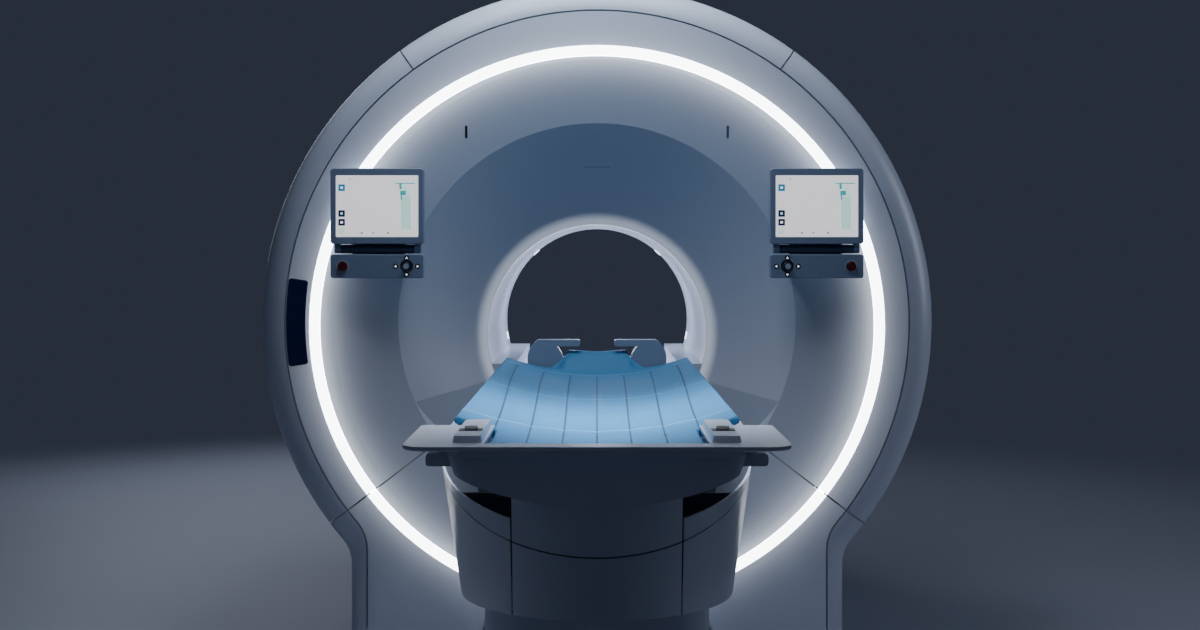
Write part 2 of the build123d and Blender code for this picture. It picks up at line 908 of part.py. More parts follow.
# Coil docks at the head end: a humped housing with two sockets and an arm reaching inward
dock_in = 103
dock_out = 209
dock_front_y = -898
dock_back_y = -840
dock_top_z = rail_z + 66
dock_arm_z = dock_top_z - 19
dock_shoulder = 32
arm_in = 52
arm_round = 5
socket_r = 4
socket_depth = 8
socket_places = (142, 164)
docks = []
for sign in (-1, 1):
    with BuildPart() as head_dock:
        with BuildSketch(front_plane(dock_back_y)) as shape:
            with BuildLine():
                Line((sign * dock_in, dish_low_z), (sign * dock_in, rail_z))
                ThreePointArc(
                    (sign * dock_in, rail_z),
                    (sign * (dock_in + 5), rail_z + 28),
                    (sign * (dock_in + 20), dock_arm_z),
                )
                Line((sign * (dock_in + 20), dock_arm_z), (sign * arm_in, dock_arm_z))
                Line((sign * arm_in, dock_arm_z), (sign * arm_in, dock_top_z))
                Line((sign * arm_in, dock_top_z), (sign * (dock_out - dock_shoulder), dock_top_z))
                ThreePointArc(
                    (sign * (dock_out - dock_shoulder), dock_top_z),
                    (sign * (dock_out - 8), rail_z + 42),
                    (sign * dock_out, rail_z),
                )
                Line((sign * dock_out, rail_z), (sign * dock_out, dish_low_z))
                Line((sign * dock_out, dish_low_z), (sign * dock_in, dish_low_z))
            make_face()
            fillet([v for v in shape.vertices() if abs(v.X) < arm_in + 1], arm_round)
        extrude(amount=dock_back_y - dock_front_y)
        add(
            tube(dock_front_y, dock_back_y, dish_r_in, 0, dish_low_z + dish_r_in),
            mode=Mode.INTERSECT,
        )
        with BuildSketch(Plane.XY.offset(dock_top_z)):
            for x in socket_places:
                with Locations((sign * x, (dock_front_y + dock_back_y) / 2)):
                    Circle(socket_r)
        extrude(amount=-socket_depth, mode=Mode.SUBTRACT)
    docks.append(head_dock.part)
write_group(docks, "head_docks")


# Upper shell of the table: a keeled trough with a rounded front and an open middle
def shell_form(inset, top):
    # the trough's outer form, or the space inside it
    with BuildPart() as solid:
        with BuildSketch(front_plane(shell_back_y)):
            with BuildLine():
                Line((-shell_half + inset, top), (shell_half - inset, top))
                Line((shell_half - inset, top), (shell_low_half - inset, shell_side_z + inset))
                ThreePointArc(
                    (shell_low_half - inset, shell_side_z + inset), (0, shell_keel_z + inset),
                    (-shell_low_half + inset, shell_side_z + inset),
                )
                Line((-shell_low_half + inset, shell_side_z + inset), (-shell_half + inset, top))
            make_face()
        extrude(amount=shell_back_y - shell_front_y - inset)
        uprights = [
            e for e in solid.edges()
            if e.center().Y < shell_front_y + inset + 1 and abs(e.center().X) > 0.9 * shell_low_half
        ]
        fillet(uprights, shell_corner - inset)
    return solid.part


keel_half = 190
shell_inner = shell_form(skin, shell_top_z)
with BuildPart() as upper_shell:
    add(shell_form(0, shell_top_z))
    add(shell_inner, mode=Mode.SUBTRACT)
    add(
        block(-keel_half, keel_half, frame_front_y - 10, frame_back_y + 10, 0, shell_side_z),
        mode=Mode.SUBTRACT,
    )
write(upper_shell, "upper_shell")

# Ends of the beam under the foot plate, seated against the shell's sides below the tabletop
cross_half = 300
cross_front_y = foot_step_y - 5
cross_back_y = cross_front_y + 40
cross_low_z = 856
cross_high_z = shell_top_z
with BuildPart() as foot_crossbeam:
    add(block(-cross_half, cross_half, cross_front_y, cross_back_y, cross_low_z, cross_high_z))
    fillet(foot_crossbeam.edges().filter_by(Axis.Y), 6)
    add(shell_form(0, shell_top_z), mode=Mode.SUBTRACT)
write(foot_crossbeam, "foot_crossbeam")


# Lower tub: half ellipse in plan, tapering downward, its floor rising to the nose
def tub_form(inset, floor_lift):
    rise = (tub_half - tub_low_half) / (tub_top_z - tub_low_z)
    stretch = (tub_long - tub_low_long) / (tub_top_z - tub_low_z)
    slope = (tub_nose_floor_z - tub_floor_z) / 1000
    top_z = shell_keel_z
    floor_z = tub_floor_z + floor_lift
    nose_end_y = plate_front_y - 100
    with BuildPart() as solid:
        for z in (tub_low_z, top_z):
            half = tub_low_half + rise * (z - tub_low_z) - inset
            long = tub_low_long + stretch * (z - tub_low_z) - inset
            with BuildSketch(Plane.XY.offset(z)):
                with BuildLine():
                    EllipticalCenterArc((0, tub_centre_y), half, long, 180, arc_size=180)
                    Line((half, tub_centre_y), (half, tub_back_y))
                    Line((half, tub_back_y), (-half, tub_back_y))
                    Line((-half, tub_back_y), (-half, tub_centre_y))
                make_face()
        loft(ruled=True)
        with BuildSketch(Plane.YZ.offset(-tub_half)):
            with BuildLine():
                Polyline(
                    (nose_end_y, 0),
                    (nose_end_y, floor_z + slope * (floor_bend_y - nose_end_y)),
                    (floor_bend_y, floor_z),
                    (0, floor_z),
                    (0, 0),
                    close=True,
                )
            make_face()
        extrude(amount=2 * tub_half, mode=Mode.SUBTRACT)
    return solid.part


tub_inner = tub_form(skin, skin)
plinth_gap = 8
opening_half = plinth_half + plinth_step + plinth_gap
opening_front_y = plinth_front_y - plinth_step - plinth_gap
opening_back_y = plinth_back_y + plinth_step + plinth_gap
with BuildPart() as tub_shell:
    add(tub_form(0, 0))
    add(tub_inner, mode=Mode.SUBTRACT)
    with BuildSketch(Plane.XY):
        with Locations((0, (opening_front_y + opening_back_y) / 2)):
            RectangleRounded(
                2 * opening_half, opening_back_y - opening_front_y,
                plinth_corner + plinth_step + plinth_gap,
            )
    extrude(amount=tub_nose_floor_z, mode=Mode.SUBTRACT)

nose_y = tub_centre_y - tub_long / 3


def seam_band(far_z, gap):
    # everything between the tub's slanting joint, less a gap, and a far level
    ends = (plate_front_y, 0)
    heights = [tub_seam_z - gap + tub_seam_rise * (y - tub_centre_y + tub_long) for y in ends]
    with BuildPart() as solid:
        with BuildSketch(Plane.YZ.offset(-2 * tub_half)):
            with BuildLine():
                Polyline(
                    (ends[0], far_z), (ends[0], heights[0]),
                    (ends[1], heights[1]), (ends[1], far_z), close=True,
                )
            make_face()
        extrude(amount=4 * tub_half)
    return solid.part


low_band = seam_band(0, tub_seam)
high_band = seam_band(rail_z, 0)
flanks = []
rims = []
for sign in (-1, 1):
    with BuildPart() as flank:
        add(side_block(sign, panel_x, 2 * tub_half, 2 * foot_y, 0, 0, tub_top_z))
        add(side_block(sign, tub_seam / 2, 2 * tub_half, nose_y, 0, 0, tub_top_z))
        add(tub_shell.part, mode=Mode.INTERSECT)
    with BuildPart() as tub_flank:
        add(flank.part)
        add(low_band, mode=Mode.INTERSECT)
    flanks.append(tub_flank.part)
    with BuildPart() as tub_rim:
        add(flank.part)
        add(high_band, mode=Mode.INTERSECT)
    rims.append(tub_rim.part)
write_group(flanks, "tub_flanks")
write_group(rims, "tub_rims")

nose_half = panel_x - tub_seam
with BuildPart() as nose_panel_lower:
    add(tub_shell.part)
    add(
        block(-nose_half, nose_half, 2 * foot_y, nose_y - tub_seam, 0, shell_keel_z),
        mode=Mode.INTERSECT,
    )
    add(low_band, mode=Mode.INTERSECT)
write(nose_panel_lower, "nose_panel_lower")

with BuildPart() as nose_panel_upper:
    add(tub_shell.part)
    add(
        block(-nose_half, nose_half, 2 * foot_y, nose_y, 0, shell_keel_z),
        mode=Mode.INTERSECT,
    )
    add(high_band, mode=Mode.INTERSECT)
write(nose_panel_upper, "nose_panel_upper")

# Table frame: two beams with cross members, and hangers that carry the tub
hanger_t = 12
column_plate = 150
front_hanger_y = tub_centre_y - tub_long + 175
hanger_places = (front_hanger_y, opening_front_y - 20, opening_back_y + 20 + hanger_t)
leg_half = tub_low_half - 60
hanger_form = tub_form(skin + 0.1, skin)
with BuildPart() as hangers:
    for y in hanger_places:
        add(block(-tub_half, tub_half, y - hanger_t, y, 0, tub_top_z - 2))
    add(hanger_form, mode=Mode.INTERSECT)
    add(
        block(-leg_half, leg_half, front_hanger_y + 1, 0, 0, tub_seam_z - 60),
        mode=Mode.SUBTRACT,
    )

with BuildPart() as cross_members:
    for y in (frame_front_y, frame_back_y - cross_l):
        add(block(-shell_half, shell_half, y, y + cross_l, beam_low_z + cross_lift, beam_top_z))
    add(shell_inner, mode=Mode.INTERSECT)

with BuildPart() as table_frame:
    add(cross_members.part)
    add(
        block(
            -beam_x, beam_x, column_y - column_plate, column_y + column_plate,
            beam_low_z, beam_low_z + bearer_t,
        )
    )
    for sign in (-1, 1):
        for y in hanger_places:
            add(
                side_block(
                    sign, beam_x, beam_x + bearer_w, y - hanger_t, y,
                    tub_top_z - bearer_w, beam_low_z + 1,
                )
            )
        add(
            side_block(
                sign, beam_x, beam_x + beam_w, frame_front_y, frame_back_y,
                beam_low_z, beam_top_z,
            )
        )
    add(hangers.part)
    # bearing holes for the belt's shafts
    with BuildSketch(Plane.YZ.offset(beam_x - 1)):
        with Locations((drive_y, pulley_z), (idler_y, pulley_z)):
            Circle(shaft_r + pin_fit)
    extrude(amount=30, mode=Mode.SUBTRACT)
write(table_frame, "table_frame")

# Glide strips under the dish
glide_x = beam_x + beam_w / 2
glide_w = 25
with BuildPart() as glide_strips:
    for sign in (-1, 1):
        add(
            block(
                sign * glide_x - glide_w / 2, sign * glide_x + glide_w / 2,
                frame_front_y + cross_l, frame_back_y - cross_l, beam_top_z, flange_z,
            )
        )
    add(under_dish(contact_gap), mode=Mode.SUBTRACT)
write(glide_strips, "glide_strips")


# Belt drive beside the column
def belt_loop(radius):
    with BuildSketch(Plane.YZ.offset(pulley_x - belt_w / 2)) as section:
        with Locations(((drive_y + idler_y) / 2, pulley_z)):
            SlotCenterToCenter(drive_y - idler_y, 2 * radius)
    return section.sketch


with BuildPart() as drive_belt:
    extrude(belt_loop(pulley_r + contact_gap + belt_t), amount=belt_w)
    extrude(belt_loop(pulley_r + contact_gap), amount=belt_w, mode=Mode.SUBTRACT)
write(drive_belt, "drive_belt")

for name, y in (("drive_pulley", drive_y), ("idler_pulley", idler_y)):
    with BuildPart() as pulley:
        with BuildSketch(Plane.YZ.offset(pulley_x - belt_w / 2)):
            with Locations((y, pulley_z)):
                Circle(pulley_r)
        extrude(amount=belt_w)
        with BuildSketch(Plane.YZ.offset(pulley_x - belt_w / 2 - 10)):
            with Locations((y, pulley_z)):
                Circle(shaft_r)
        extrude(amount=belt_w + 10 + beam_x + 20 - pulley_x - belt_w / 2)
    write(pulley, name)

motor_r = 32
motor_end_x = pulley_x - belt_w / 2 - 10.5
with BuildPart() as table_motor:
    with BuildSketch(Plane.YZ.offset(motor_end_x - 150)):
        with Locations((drive_y, pulley_z)):
            Circle(motor_r)
    extrude(amount=150)
    fillet(table_motor.edges().group_by(Axis.X)[0], 6)
    add(
        block(
            motor_end_x - 100, motor_end_x - 20, drive_y + motor_r - 8, frame_back_y - cross_l,
            pulley_z + 4, pulley_z + 20,
        )
    )
write(table_motor, "table_motor")


# Plinth: a fixed cover on the floor and a sleeve that rises half as far as the table
def plinth_cover_form(step, low_z, high_z):
    with BuildPart() as solid:
        with BuildSketch(Plane.XY.offset(low_z)):
            with Locations((0, (plinth_front_y + plinth_back_y) / 2)):
                RectangleRounded(
                    2 * (plinth_half + step), plinth_back_y - plinth_front_y + 2 * step,
                    plinth_corner + step,
                )
        extrude(amount=high_z - low_z)
    return solid.part


with BuildPart() as plinth_sleeve:
    add(plinth_cover_form(0, sleeve_low_z, sleeve_top_z))
    add(plinth_cover_form(-plinth_skin, sleeve_low_z, sleeve_top_z), mode=Mode.SUBTRACT)
write(plinth_sleeve, "plinth_sleeve")

with BuildPart() as plinth_cover:
    add(plinth_cover_form(plinth_step, base_t, cover_top_z))
    add(
        plinth_cover_form(plinth_step - plinth_skin, base_t, cover_top_z),
        mode=Mode.SUBTRACT,
    )
write(plinth_cover, "plinth_cover")

# Floor frame: the table's base plate, tied to the magnet's feet
tie_x = 150
tie_w = 60
tie_h = 38
tie_back_y = -foot_len / 2
with BuildPart() as floor_frame:
    add(plinth_cover_form(plinth_step, 0, base_t))
    with BuildSketch(Plane.XY):
        with Locations((0, (plinth_front_y + plinth_back_y) / 2)):
            with GridLocations(2 * table_anchor_x, 2 * table_anchor_y, 2, 2):
                Circle(table_anchor_r)
    extrude(amount=base_t, mode=Mode.SUBTRACT)
    for sign in (-1, 1):
        add(
            block(
                sign * tie_x - tie_w / 2, sign * tie_x + tie_w / 2,
                plinth_back_y + plinth_step, tie_back_y - tie_w, 0, tie_h,
            )
        )
    add(block(-anchor_x, anchor_x, tie_back_y - tie_w, tie_back_y, 0, tie_h))
write(floor_frame, "floor_frame")

# Three-stage lifting column round a screw actuator
stage_gap = 1
stage_wall = 8
inner_x = 90
inner_y = 120


def column_stage(step, low_z, high_z):
    with BuildPart() as solid:
        grow = step * (stage_wall + stage_gap)
        with BuildSketch(Plane.XY.offset(low_z)):
            with Locations((0, column_y)):
                RectangleRounded(2 * (inner_x + grow), 2 * (inner_y + grow), 12 + grow)
                RectangleRounded(
                    2 * (inner_x + grow - stage_wall), 2 * (inner_y + grow - stage_wall),
                    4 + grow, mode=Mode.SUBTRACT,
                )
        extrude(amount=high_z - low_z)
    return solid


stage_overlap = 110
collar_t = 12
collar_clear = 8            # collar above the outer tube at the bottom of the lift
actuator_clear = 10
inner_low_z = base_t + 10 + lift_travel
middle_low_z = base_t + 5 + lift_travel / 2
middle_top_z = inner_low_z + stage_overlap
outer_top_z = middle_top_z - collar_t - lift_travel / 2 - collar_clear
column_outer = column_stage(2, base_t, outer_top_z)
write(column_outer, "column_outer")
# a collar ties the middle stage to the sleeve of the plinth
with BuildPart() as column_middle:
    add(column_stage(1, middle_low_z, middle_top_z).part)
    with BuildSketch(Plane.XY.offset(middle_top_z - collar_t)):
        with Locations((0, column_y)):
            Rectangle(2 * (plinth_half - plinth_skin), 60)
            RectangleRounded(
                2 * (inner_x + stage_wall), 2 * (inner_y + stage_wall), 16, mode=Mode.SUBTRACT
            )
    extrude(amount=collar_t)
write(column_middle, "column_middle")
column_inner = column_stage(0, inner_low_z, beam_low_z)
write(column_inner, "column_inner")

actuator_r = 50
rod_r = 25
with BuildPart() as lift_actuator:
    with BuildSketch(Plane.XY.offset(base_t)):
        with Locations((0, column_y)):
            Circle(actuator_r)
            Circle(rod_r + contact_gap, mode=Mode.SUBTRACT)
    extrude(amount=beam_low_z - lift_travel - actuator_clear - base_t)
write(lift_actuator, "lift_actuator")

with BuildPart() as actuator_rod:
    with BuildSketch(Plane.XY.offset(inner_low_z)):
        with Locations((0, column_y)):
            Circle(rod_r)
    extrude(amount=beam_low_z - inner_low_z)
write(actuator_rod, "actuator_rod")

# Displays: bracket on the face, hinged screen, and a key panel below it
bracket_back_y = -760
bracket_front_y = display_front_y + display_t + 3
bracket_half = 80
ring_clear = 2
bracket_low_z = panel_z - panel_h / 2 + 8
bracket_top_z = display_z + 40
panel_front_y = display_front_y
knuckle_in = 112
knuckle_out = 130
barrel_half_len = knuckle_in - 1
pocket_depth = 16
pocket_r = 20
ring_y = panel_front_y + 8
brackets = []
hinges = []
panels = []
arrows = []
for side_name, sign in (("left", -1), ("right", 1)):
    cx = sign * display_x
    with BuildPart() as display_bracket:
        add(
            block(
                cx - bracket_half, cx + bracket_half, bracket_front_y, bracket_back_y,
                bracket_low_z, bracket_top_z,
            )
        )
        add(face_solid.part, mode=Mode.SUBTRACT)
        # the lit ring stands a little out of the face and passes behind the bracket
        add(ring_band(front_y - ring_clear, front_y, groove_half), mode=Mode.SUBTRACT)
    brackets.append(display_bracket.part)

    with BuildPart() as display_hinge:
        with BuildSketch(Plane.YZ.offset(cx - barrel_half_len)):
            with Locations((hinge_y, hinge_z)):
                Circle(hinge_r)
            with Locations(((hinge_y + bracket_front_y) / 2, hinge_z)):
                Rectangle(bracket_front_y - hinge_y, 12)
        extrude(amount=2 * barrel_half_len)
        with BuildSketch(Plane.YZ.offset(cx - knuckle_out)):
            with Locations((hinge_y, hinge_z)):
                Circle(hinge_pin_r)
        extrude(amount=2 * knuckle_out)
    hinges.append(display_hinge.part)

    low_z = display_z - display_h / 2
    with BuildPart() as display_housing:
        with BuildSketch(front_plane(display_front_y + display_t)):
            with Locations((cx, display_z)):
                RectangleRounded(display_w, display_h, 10)
        extrude(amount=display_t)
        fillet(display_housing.faces().sort_by(Axis.Y)[0].edges(), 2.5)
        fillet(display_housing.faces().sort_by(Axis.Y)[-1].edges(), 7)
        with BuildSketch(front_plane(display_front_y)):
            with Locations((cx, display_z)):
                RectangleRounded(screen_w, screen_h, 3)
        extrude(amount=-screen_t, mode=Mode.SUBTRACT)
        for turn in (-1, 1):
            inner = cx + turn * knuckle_in
            outer = cx + turn * knuckle_out
            with BuildSketch(Plane.YZ.offset(min(inner, outer))):
                with Locations((hinge_y, hinge_z)):
                    Circle(hinge_r)
                with Locations((hinge_y, (hinge_z + low_z + 4) / 2)):
                    Rectangle(2 * hinge_r, low_z + 4 - hinge_z)
                with Locations((hinge_y, hinge_z)):
                    Circle(hinge_pin_r + pin_fit, mode=Mode.SUBTRACT)
            extrude(amount=knuckle_out - knuckle_in)
    write(display_housing, f"display_housing_{side_name}")

    with BuildPart() as display_screen:
        with BuildSketch(front_plane(display_front_y + screen_t)):
            with Locations((cx, display_z)):
                RectangleRounded(screen_w - 0.6, screen_h - 0.6, 2.7)
        extrude(amount=screen_t - 0.4)
    write(display_screen, f"display_screen_{side_name}")

    stop_cx = cx + sign * stop_x
    stick_cx = cx - sign * stick_x
    with BuildPart() as control_panel:
        with BuildSketch(front_plane(bracket_front_y)):
            with Locations((cx, panel_z)):
                RectangleRounded(display_w, panel_h, 8)
        extrude(amount=bracket_front_y - panel_front_y)
        fillet(control_panel.faces().sort_by(Axis.Y)[0].edges(), 2.5)
        with BuildSketch(front_plane(panel_front_y)):
            with Locations((stop_cx, panel_z)):
                Circle(stop_r + button_fit)
            with Locations((stick_cx, panel_z)):
                Circle(pocket_r)
        extrude(amount=-pocket_depth, mode=Mode.SUBTRACT)
        with BuildSketch(Plane.YZ.offset(stick_cx - pocket_r - 4)):
            with Locations((ring_y, panel_z)):
                Circle(2 + pin_fit)
        extrude(amount=2 * pocket_r + 8, mode=Mode.SUBTRACT)
    panels.append(control_panel.part)

    with BuildPart() as stop_button:
        with BuildSketch(front_plane(panel_front_y + pocket_depth - 6)):
            with Locations((stop_cx, panel_z)):
                Circle(stop_r)
        extrude(amount=pocket_depth - 6 + 8)
        fillet(stop_button.faces().sort_by(Axis.Y)[0].edges(), 3)
    write(stop_button, f"stop_button_{side_name}")

    with BuildPart() as joystick_gimbal:
        with BuildSketch(front_plane(ring_y + 2.5)):
            with Locations((stick_cx, panel_z)):
                Circle(13)
                Circle(9, mode=Mode.SUBTRACT)
        extrude(amount=5)
        with BuildSketch(Plane.YZ.offset(stick_cx - pocket_r - 3)):
            with Locations((ring_y, panel_z)):
                Circle(2)
        extrude(amount=pocket_r + 3 - 10)
        with BuildSketch(Plane.YZ.offset(stick_cx + 10)):
            with Locations((ring_y, panel_z)):
                Circle(2)
        extrude(amount=pocket_r + 3 - 10)
        with BuildSketch(Plane.XY.offset(panel_z - 14)):
            with Locations((stick_cx, ring_y)):
                Circle(1.5 + pin_fit)
        extrude(amount=28, mode=Mode.SUBTRACT)
    write(joystick_gimbal, f"joystick_gimbal_{side_name}")

    with BuildPart() as joystick_knob:
        with BuildSketch(front_plane(panel_front_y - 10)):
            with Locations((stick_cx, panel_z)):
                Circle(stick_r)
        extrude(amount=8)
        fillet(joystick_knob.edges(), 2.5)
        with BuildSketch(front_plane(ring_y + 4)):
            with Locations((stick_cx, panel_z)):
                Circle(4)
        extrude(amount=ring_y + 4 - panel_front_y + 12)
        with BuildSketch(Plane.XY.offset(panel_z - 12.5)):
            with Locations((stick_cx, ring_y)):
                Circle(1.5)
        extrude(amount=25)
    write(joystick_knob, f"joystick_knob_{side_name}")

    with BuildPart() as arrow_lights:
        with BuildSketch(front_plane(panel_front_y)):
            for dx, dz, turn in (
                (arrow_x, 0, 0), (-arrow_x, 0, 180), (0, arrow_z, 90), (0, -arrow_z, 270)
            ):
                with Locations((stick_cx + dx, panel_z + dz)):
                    RegularPolygon(5, 3, rotation=turn)
        extrude(amount=0.8)
    arrows.append(arrow_lights.part)
write_group(brackets, "display_brackets")
write_group(hinges, "display_hinges")
write_group(panels, "control_panels")
write_group(arrows, "arrow_lights")
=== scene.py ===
import json
import math

import bmesh
import bpy
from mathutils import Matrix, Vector, noise
from mathutils.bvhtree import BVHTree

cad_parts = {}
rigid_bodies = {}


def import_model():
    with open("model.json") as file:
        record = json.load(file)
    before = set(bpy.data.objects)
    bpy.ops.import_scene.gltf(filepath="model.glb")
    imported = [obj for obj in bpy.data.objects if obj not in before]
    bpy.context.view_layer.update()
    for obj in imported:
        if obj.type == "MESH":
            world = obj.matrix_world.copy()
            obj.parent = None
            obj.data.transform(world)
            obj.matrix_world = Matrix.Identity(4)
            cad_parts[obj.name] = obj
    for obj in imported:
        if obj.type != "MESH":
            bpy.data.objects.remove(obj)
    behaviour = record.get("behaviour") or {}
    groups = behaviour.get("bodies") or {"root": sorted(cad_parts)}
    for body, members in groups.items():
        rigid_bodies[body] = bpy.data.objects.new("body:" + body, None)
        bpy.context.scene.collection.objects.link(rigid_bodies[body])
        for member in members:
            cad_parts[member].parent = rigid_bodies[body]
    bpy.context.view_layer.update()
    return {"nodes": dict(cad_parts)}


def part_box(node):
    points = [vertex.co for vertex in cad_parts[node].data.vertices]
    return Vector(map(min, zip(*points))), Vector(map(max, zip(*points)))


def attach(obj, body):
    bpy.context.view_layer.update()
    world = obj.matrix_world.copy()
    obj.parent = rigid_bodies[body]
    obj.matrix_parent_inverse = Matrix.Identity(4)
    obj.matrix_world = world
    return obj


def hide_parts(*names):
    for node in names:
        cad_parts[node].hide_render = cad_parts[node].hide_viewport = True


for leftover in list(bpy.data.objects):
    bpy.data.objects.remove(leftover, do_unlink=True)

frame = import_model()
nodes = frame["nodes"]
print("frame loaded:", len(nodes), "nodes")


# Small tools

def toLinear(hexColour):
    channels = [int(hexColour[i:i + 2], 16) / 255 for i in (1, 3, 5)]
    return [c / 12.92 if c <= 0.04045 else ((c + 0.055) / 1.055) ** 2.4 for c in channels] + [1.0]


def addNode(tree, kind, inputs=None, **settings):
    # an input is a plain value, a socket, or another node, which stands for its first output
    node = tree.nodes.new(kind)
    for setting, value in settings.items():
        setattr(node, setting, value)
    for socket, value in (inputs or {}).items():
        if isinstance(value, bpy.types.Node):
            value = value.outputs[0]
        if isinstance(value, bpy.types.NodeSocket):
            tree.links.new(value, node.inputs[socket])
        else:
            node.inputs[socket].default_value = value
    return node


def smoothStep(low, high, value):
    t = min(max((value - low) / (high - low), 0.0), 1.0)
    return t * t * (3 - 2 * t)


def newPiece(name, mesh, finish, body):
    piece = bpy.data.objects.new(name, mesh)
    bpy.context.scene.collection.objects.link(piece)
    mesh.materials.clear()
    mesh.materials.append(finish)
    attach(piece, body)
    return piece


def meshFrom(build, smooth=True):
    shape = bmesh.new()
    build(shape)
    bmesh.ops.recalc_face_normals(shape, faces=shape.faces)
    mesh = bpy.data.meshes.new("piece")
    shape.to_mesh(mesh)
    shape.free()
    for face in mesh.polygons:
        face.use_smooth = smooth
    return mesh


# Camera: at the photograph's place, level, a little off centre both ways as the picture is cropped
view = {"place": (0.0, -5.92, 1.231), "lens": 50.0, "sensor": 36.0, "shift": (0.0025, -0.0525)}


def setCamera():
    lens = bpy.data.cameras.new("photoView")
    lens.lens = view["lens"]
    lens.sensor_width = view["sensor"]
    lens.shift_x, lens.shift_y = view["shift"]
    camera = bpy.data.objects.new("photoView", lens)
    camera.location = view["place"]
    camera.rotation_euler = (math.radians(90), 0, 0)
    bpy.context.scene.collection.objects.link(camera)
    bpy.context.scene.camera = camera


# Studio: a pale floor that fades into a plain dark room, and large soft lights
studio = {
    "room": "#2E3340",
    "floor": "#A9AEB9",
    "fadeFrom": 3.2,
    "fadeTo": 6.5,
    "floorHalf": 40.0,
    "floorRoughness": 0.55,
    # name, place, aim, size across, watts, colour, angle of the beam in degrees
    "lights": (
        ("topBox", (-0.1, -1.2, 2.75), (0.0, -0.8, 1.95), 1.1, 23.0, "#E9F1FF", 180),
        ("tableBox", (0.0, -2.6, 2.9), (0.0, -2.35, 0.9), 0.6, 6.6, "#E9F1FF", 34),
        ("overheadBox", (0.1, 0.4, 4.4), (0.0, 0.1, 1.0), 2.4, 16.0, "#E9F1FF", 180),
        ("frontBox", (-0.6, -6.8, 2.6), (0.0, -0.9, 1.0), 4.0, 0.6, "#DCE6FF", 180),
        ("rightBox", (4.2, -0.9, 2.0), (0.9, -0.5, 1.2), 2.0, 3.6, "#E3ECFF", 50),
        ("backBox", (-2.2, 4.8, 2.6), (0.0, 0.6, 1.2), 2.6, 40.0, "#E6EEFF", 180),
    ),
    # a soft round lamp inside the bore: place, radius, watts, colour
    "boreGlow": ((0.0, 0.30, 1.00), 0.12, 6.5, "#D8DEF5"),
}


def setStudio():
    world = bpy.data.worlds.new("plainRoom")
    bpy.context.scene.world = world
    world.use_nodes = True
    world.node_tree.nodes["Background"].inputs["Color"].default_value = toLinear(studio["room"])

    half = studio["floorHalf"]
    mesh = bpy.data.meshes.new("studioFloor")
    corners = [(-half, -half, 0), (half, -half, 0), (half, half, 0), (-half, half, 0)]
    mesh.from_pydata(corners, [], [(0, 1, 2, 3)])
    floor = bpy.data.objects.new("studioFloor", mesh)
    bpy.context.scene.collection.objects.link(floor)
    paint = bpy.data.materials.new("paleFloor")
    paint.use_nodes = True
    tree = paint.node_tree
    tree.nodes.clear()
    place = addNode(tree, "ShaderNodeTexCoord")
    reach = addNode(tree, "ShaderNodeVectorMath", {0: place.outputs["Object"]}, operation="LENGTH")
    fade = addNode(tree, "ShaderNodeMapRange", {
        "Value": reach.outputs["Value"],
        "From Min": studio["fadeFrom"],
        "From Max": studio["fadeTo"],
    }, interpolation_type="SMOOTHERSTEP")
    pale = addNode(tree, "ShaderNodeBsdfPrincipled", {
        "Base Color": toLinear(studio["floor"]), "Roughness": studio["floorRoughness"]})
    room = addNode(tree, "ShaderNodeEmission", {"Color": toLinear(studio["room"])})
    mix = addNode(tree, "ShaderNodeMixShader", {
        0: fade.outputs["Result"], 1: pale.outputs["BSDF"], 2: room.outputs["Emission"]})
    addNode(tree, "ShaderNodeOutputMaterial", {"Surface": mix.outputs["Shader"]})
    mesh.materials.append(paint)

    for name, place, aim, across, watts, colour, beam in studio["lights"]:
        lamp = bpy.data.lights.new(name, "AREA")
        lamp.size = across
        lamp.energy = watts
        lamp.spread = math.radians(beam)
        lamp.color = toLinear(colour)[:3]
        light = bpy.data.objects.new(name, lamp)
        light.location = place
        light.rotation_mode = "QUATERNION"
        light.rotation_quaternion = (Vector(aim) - Vector(place)).to_track_quat("-Z", "Y")
        light.visible_camera = False
        bpy.context.scene.collection.objects.link(light)

    place, radius, watts, colour = studio["boreGlow"]
    lamp = bpy.data.lights.new("boreGlow", "POINT")
    lamp.shadow_soft_size = radius
    lamp.energy = watts
    lamp.color = toLinear(colour)[:3]
    light = bpy.data.objects.new("boreGlow", lamp)
    light.location = place
    light.visible_camera = False
    bpy.context.scene.collection.objects.link(light)


setCamera()
setStudio()
print("camera, floor and lights set")


# Finishes. Lengths are metres on the object
def startFinish(name, **sockets):
    finish = bpy.data.materials.new(name)
    finish.use_nodes = True
    tree = finish.node_tree
    tree.nodes.clear()
    shader = addNode(tree, "ShaderNodeBsdfPrincipled", {k.replace("_", " "): v for k, v in sockets.items()})
    addNode(tree, "ShaderNodeOutputMaterial", {"Surface": shader.outputs["BSDF"]})
    place = addNode(tree, "ShaderNodeTexCoord").outputs["Object"]
    return finish, tree, shader, place


def addDrift(tree, shader, place, colours, roughness, span):
    cloud = addNode(tree, "ShaderNodeTexNoise", {"Vector": place, "Scale": 1 / span, "Detail": 3.0})
    tint = addNode(tree, "ShaderNodeMix", {
        "Factor": cloud.outputs["Fac"], 6: toLinear(colours[0]), 7: toLinear(colours[1])}, data_type="RGBA")
    tree.links.new(tint.outputs[2], shader.inputs["Base Color"])
    gloss = addNode(tree, "ShaderNodeMapRange", {
        "Value": cloud.outputs["Fac"], "To Min": roughness[0], "To Max": roughness[1]})
    tree.links.new(gloss.outputs["Result"], shader.inputs["Roughness"])
    return tint


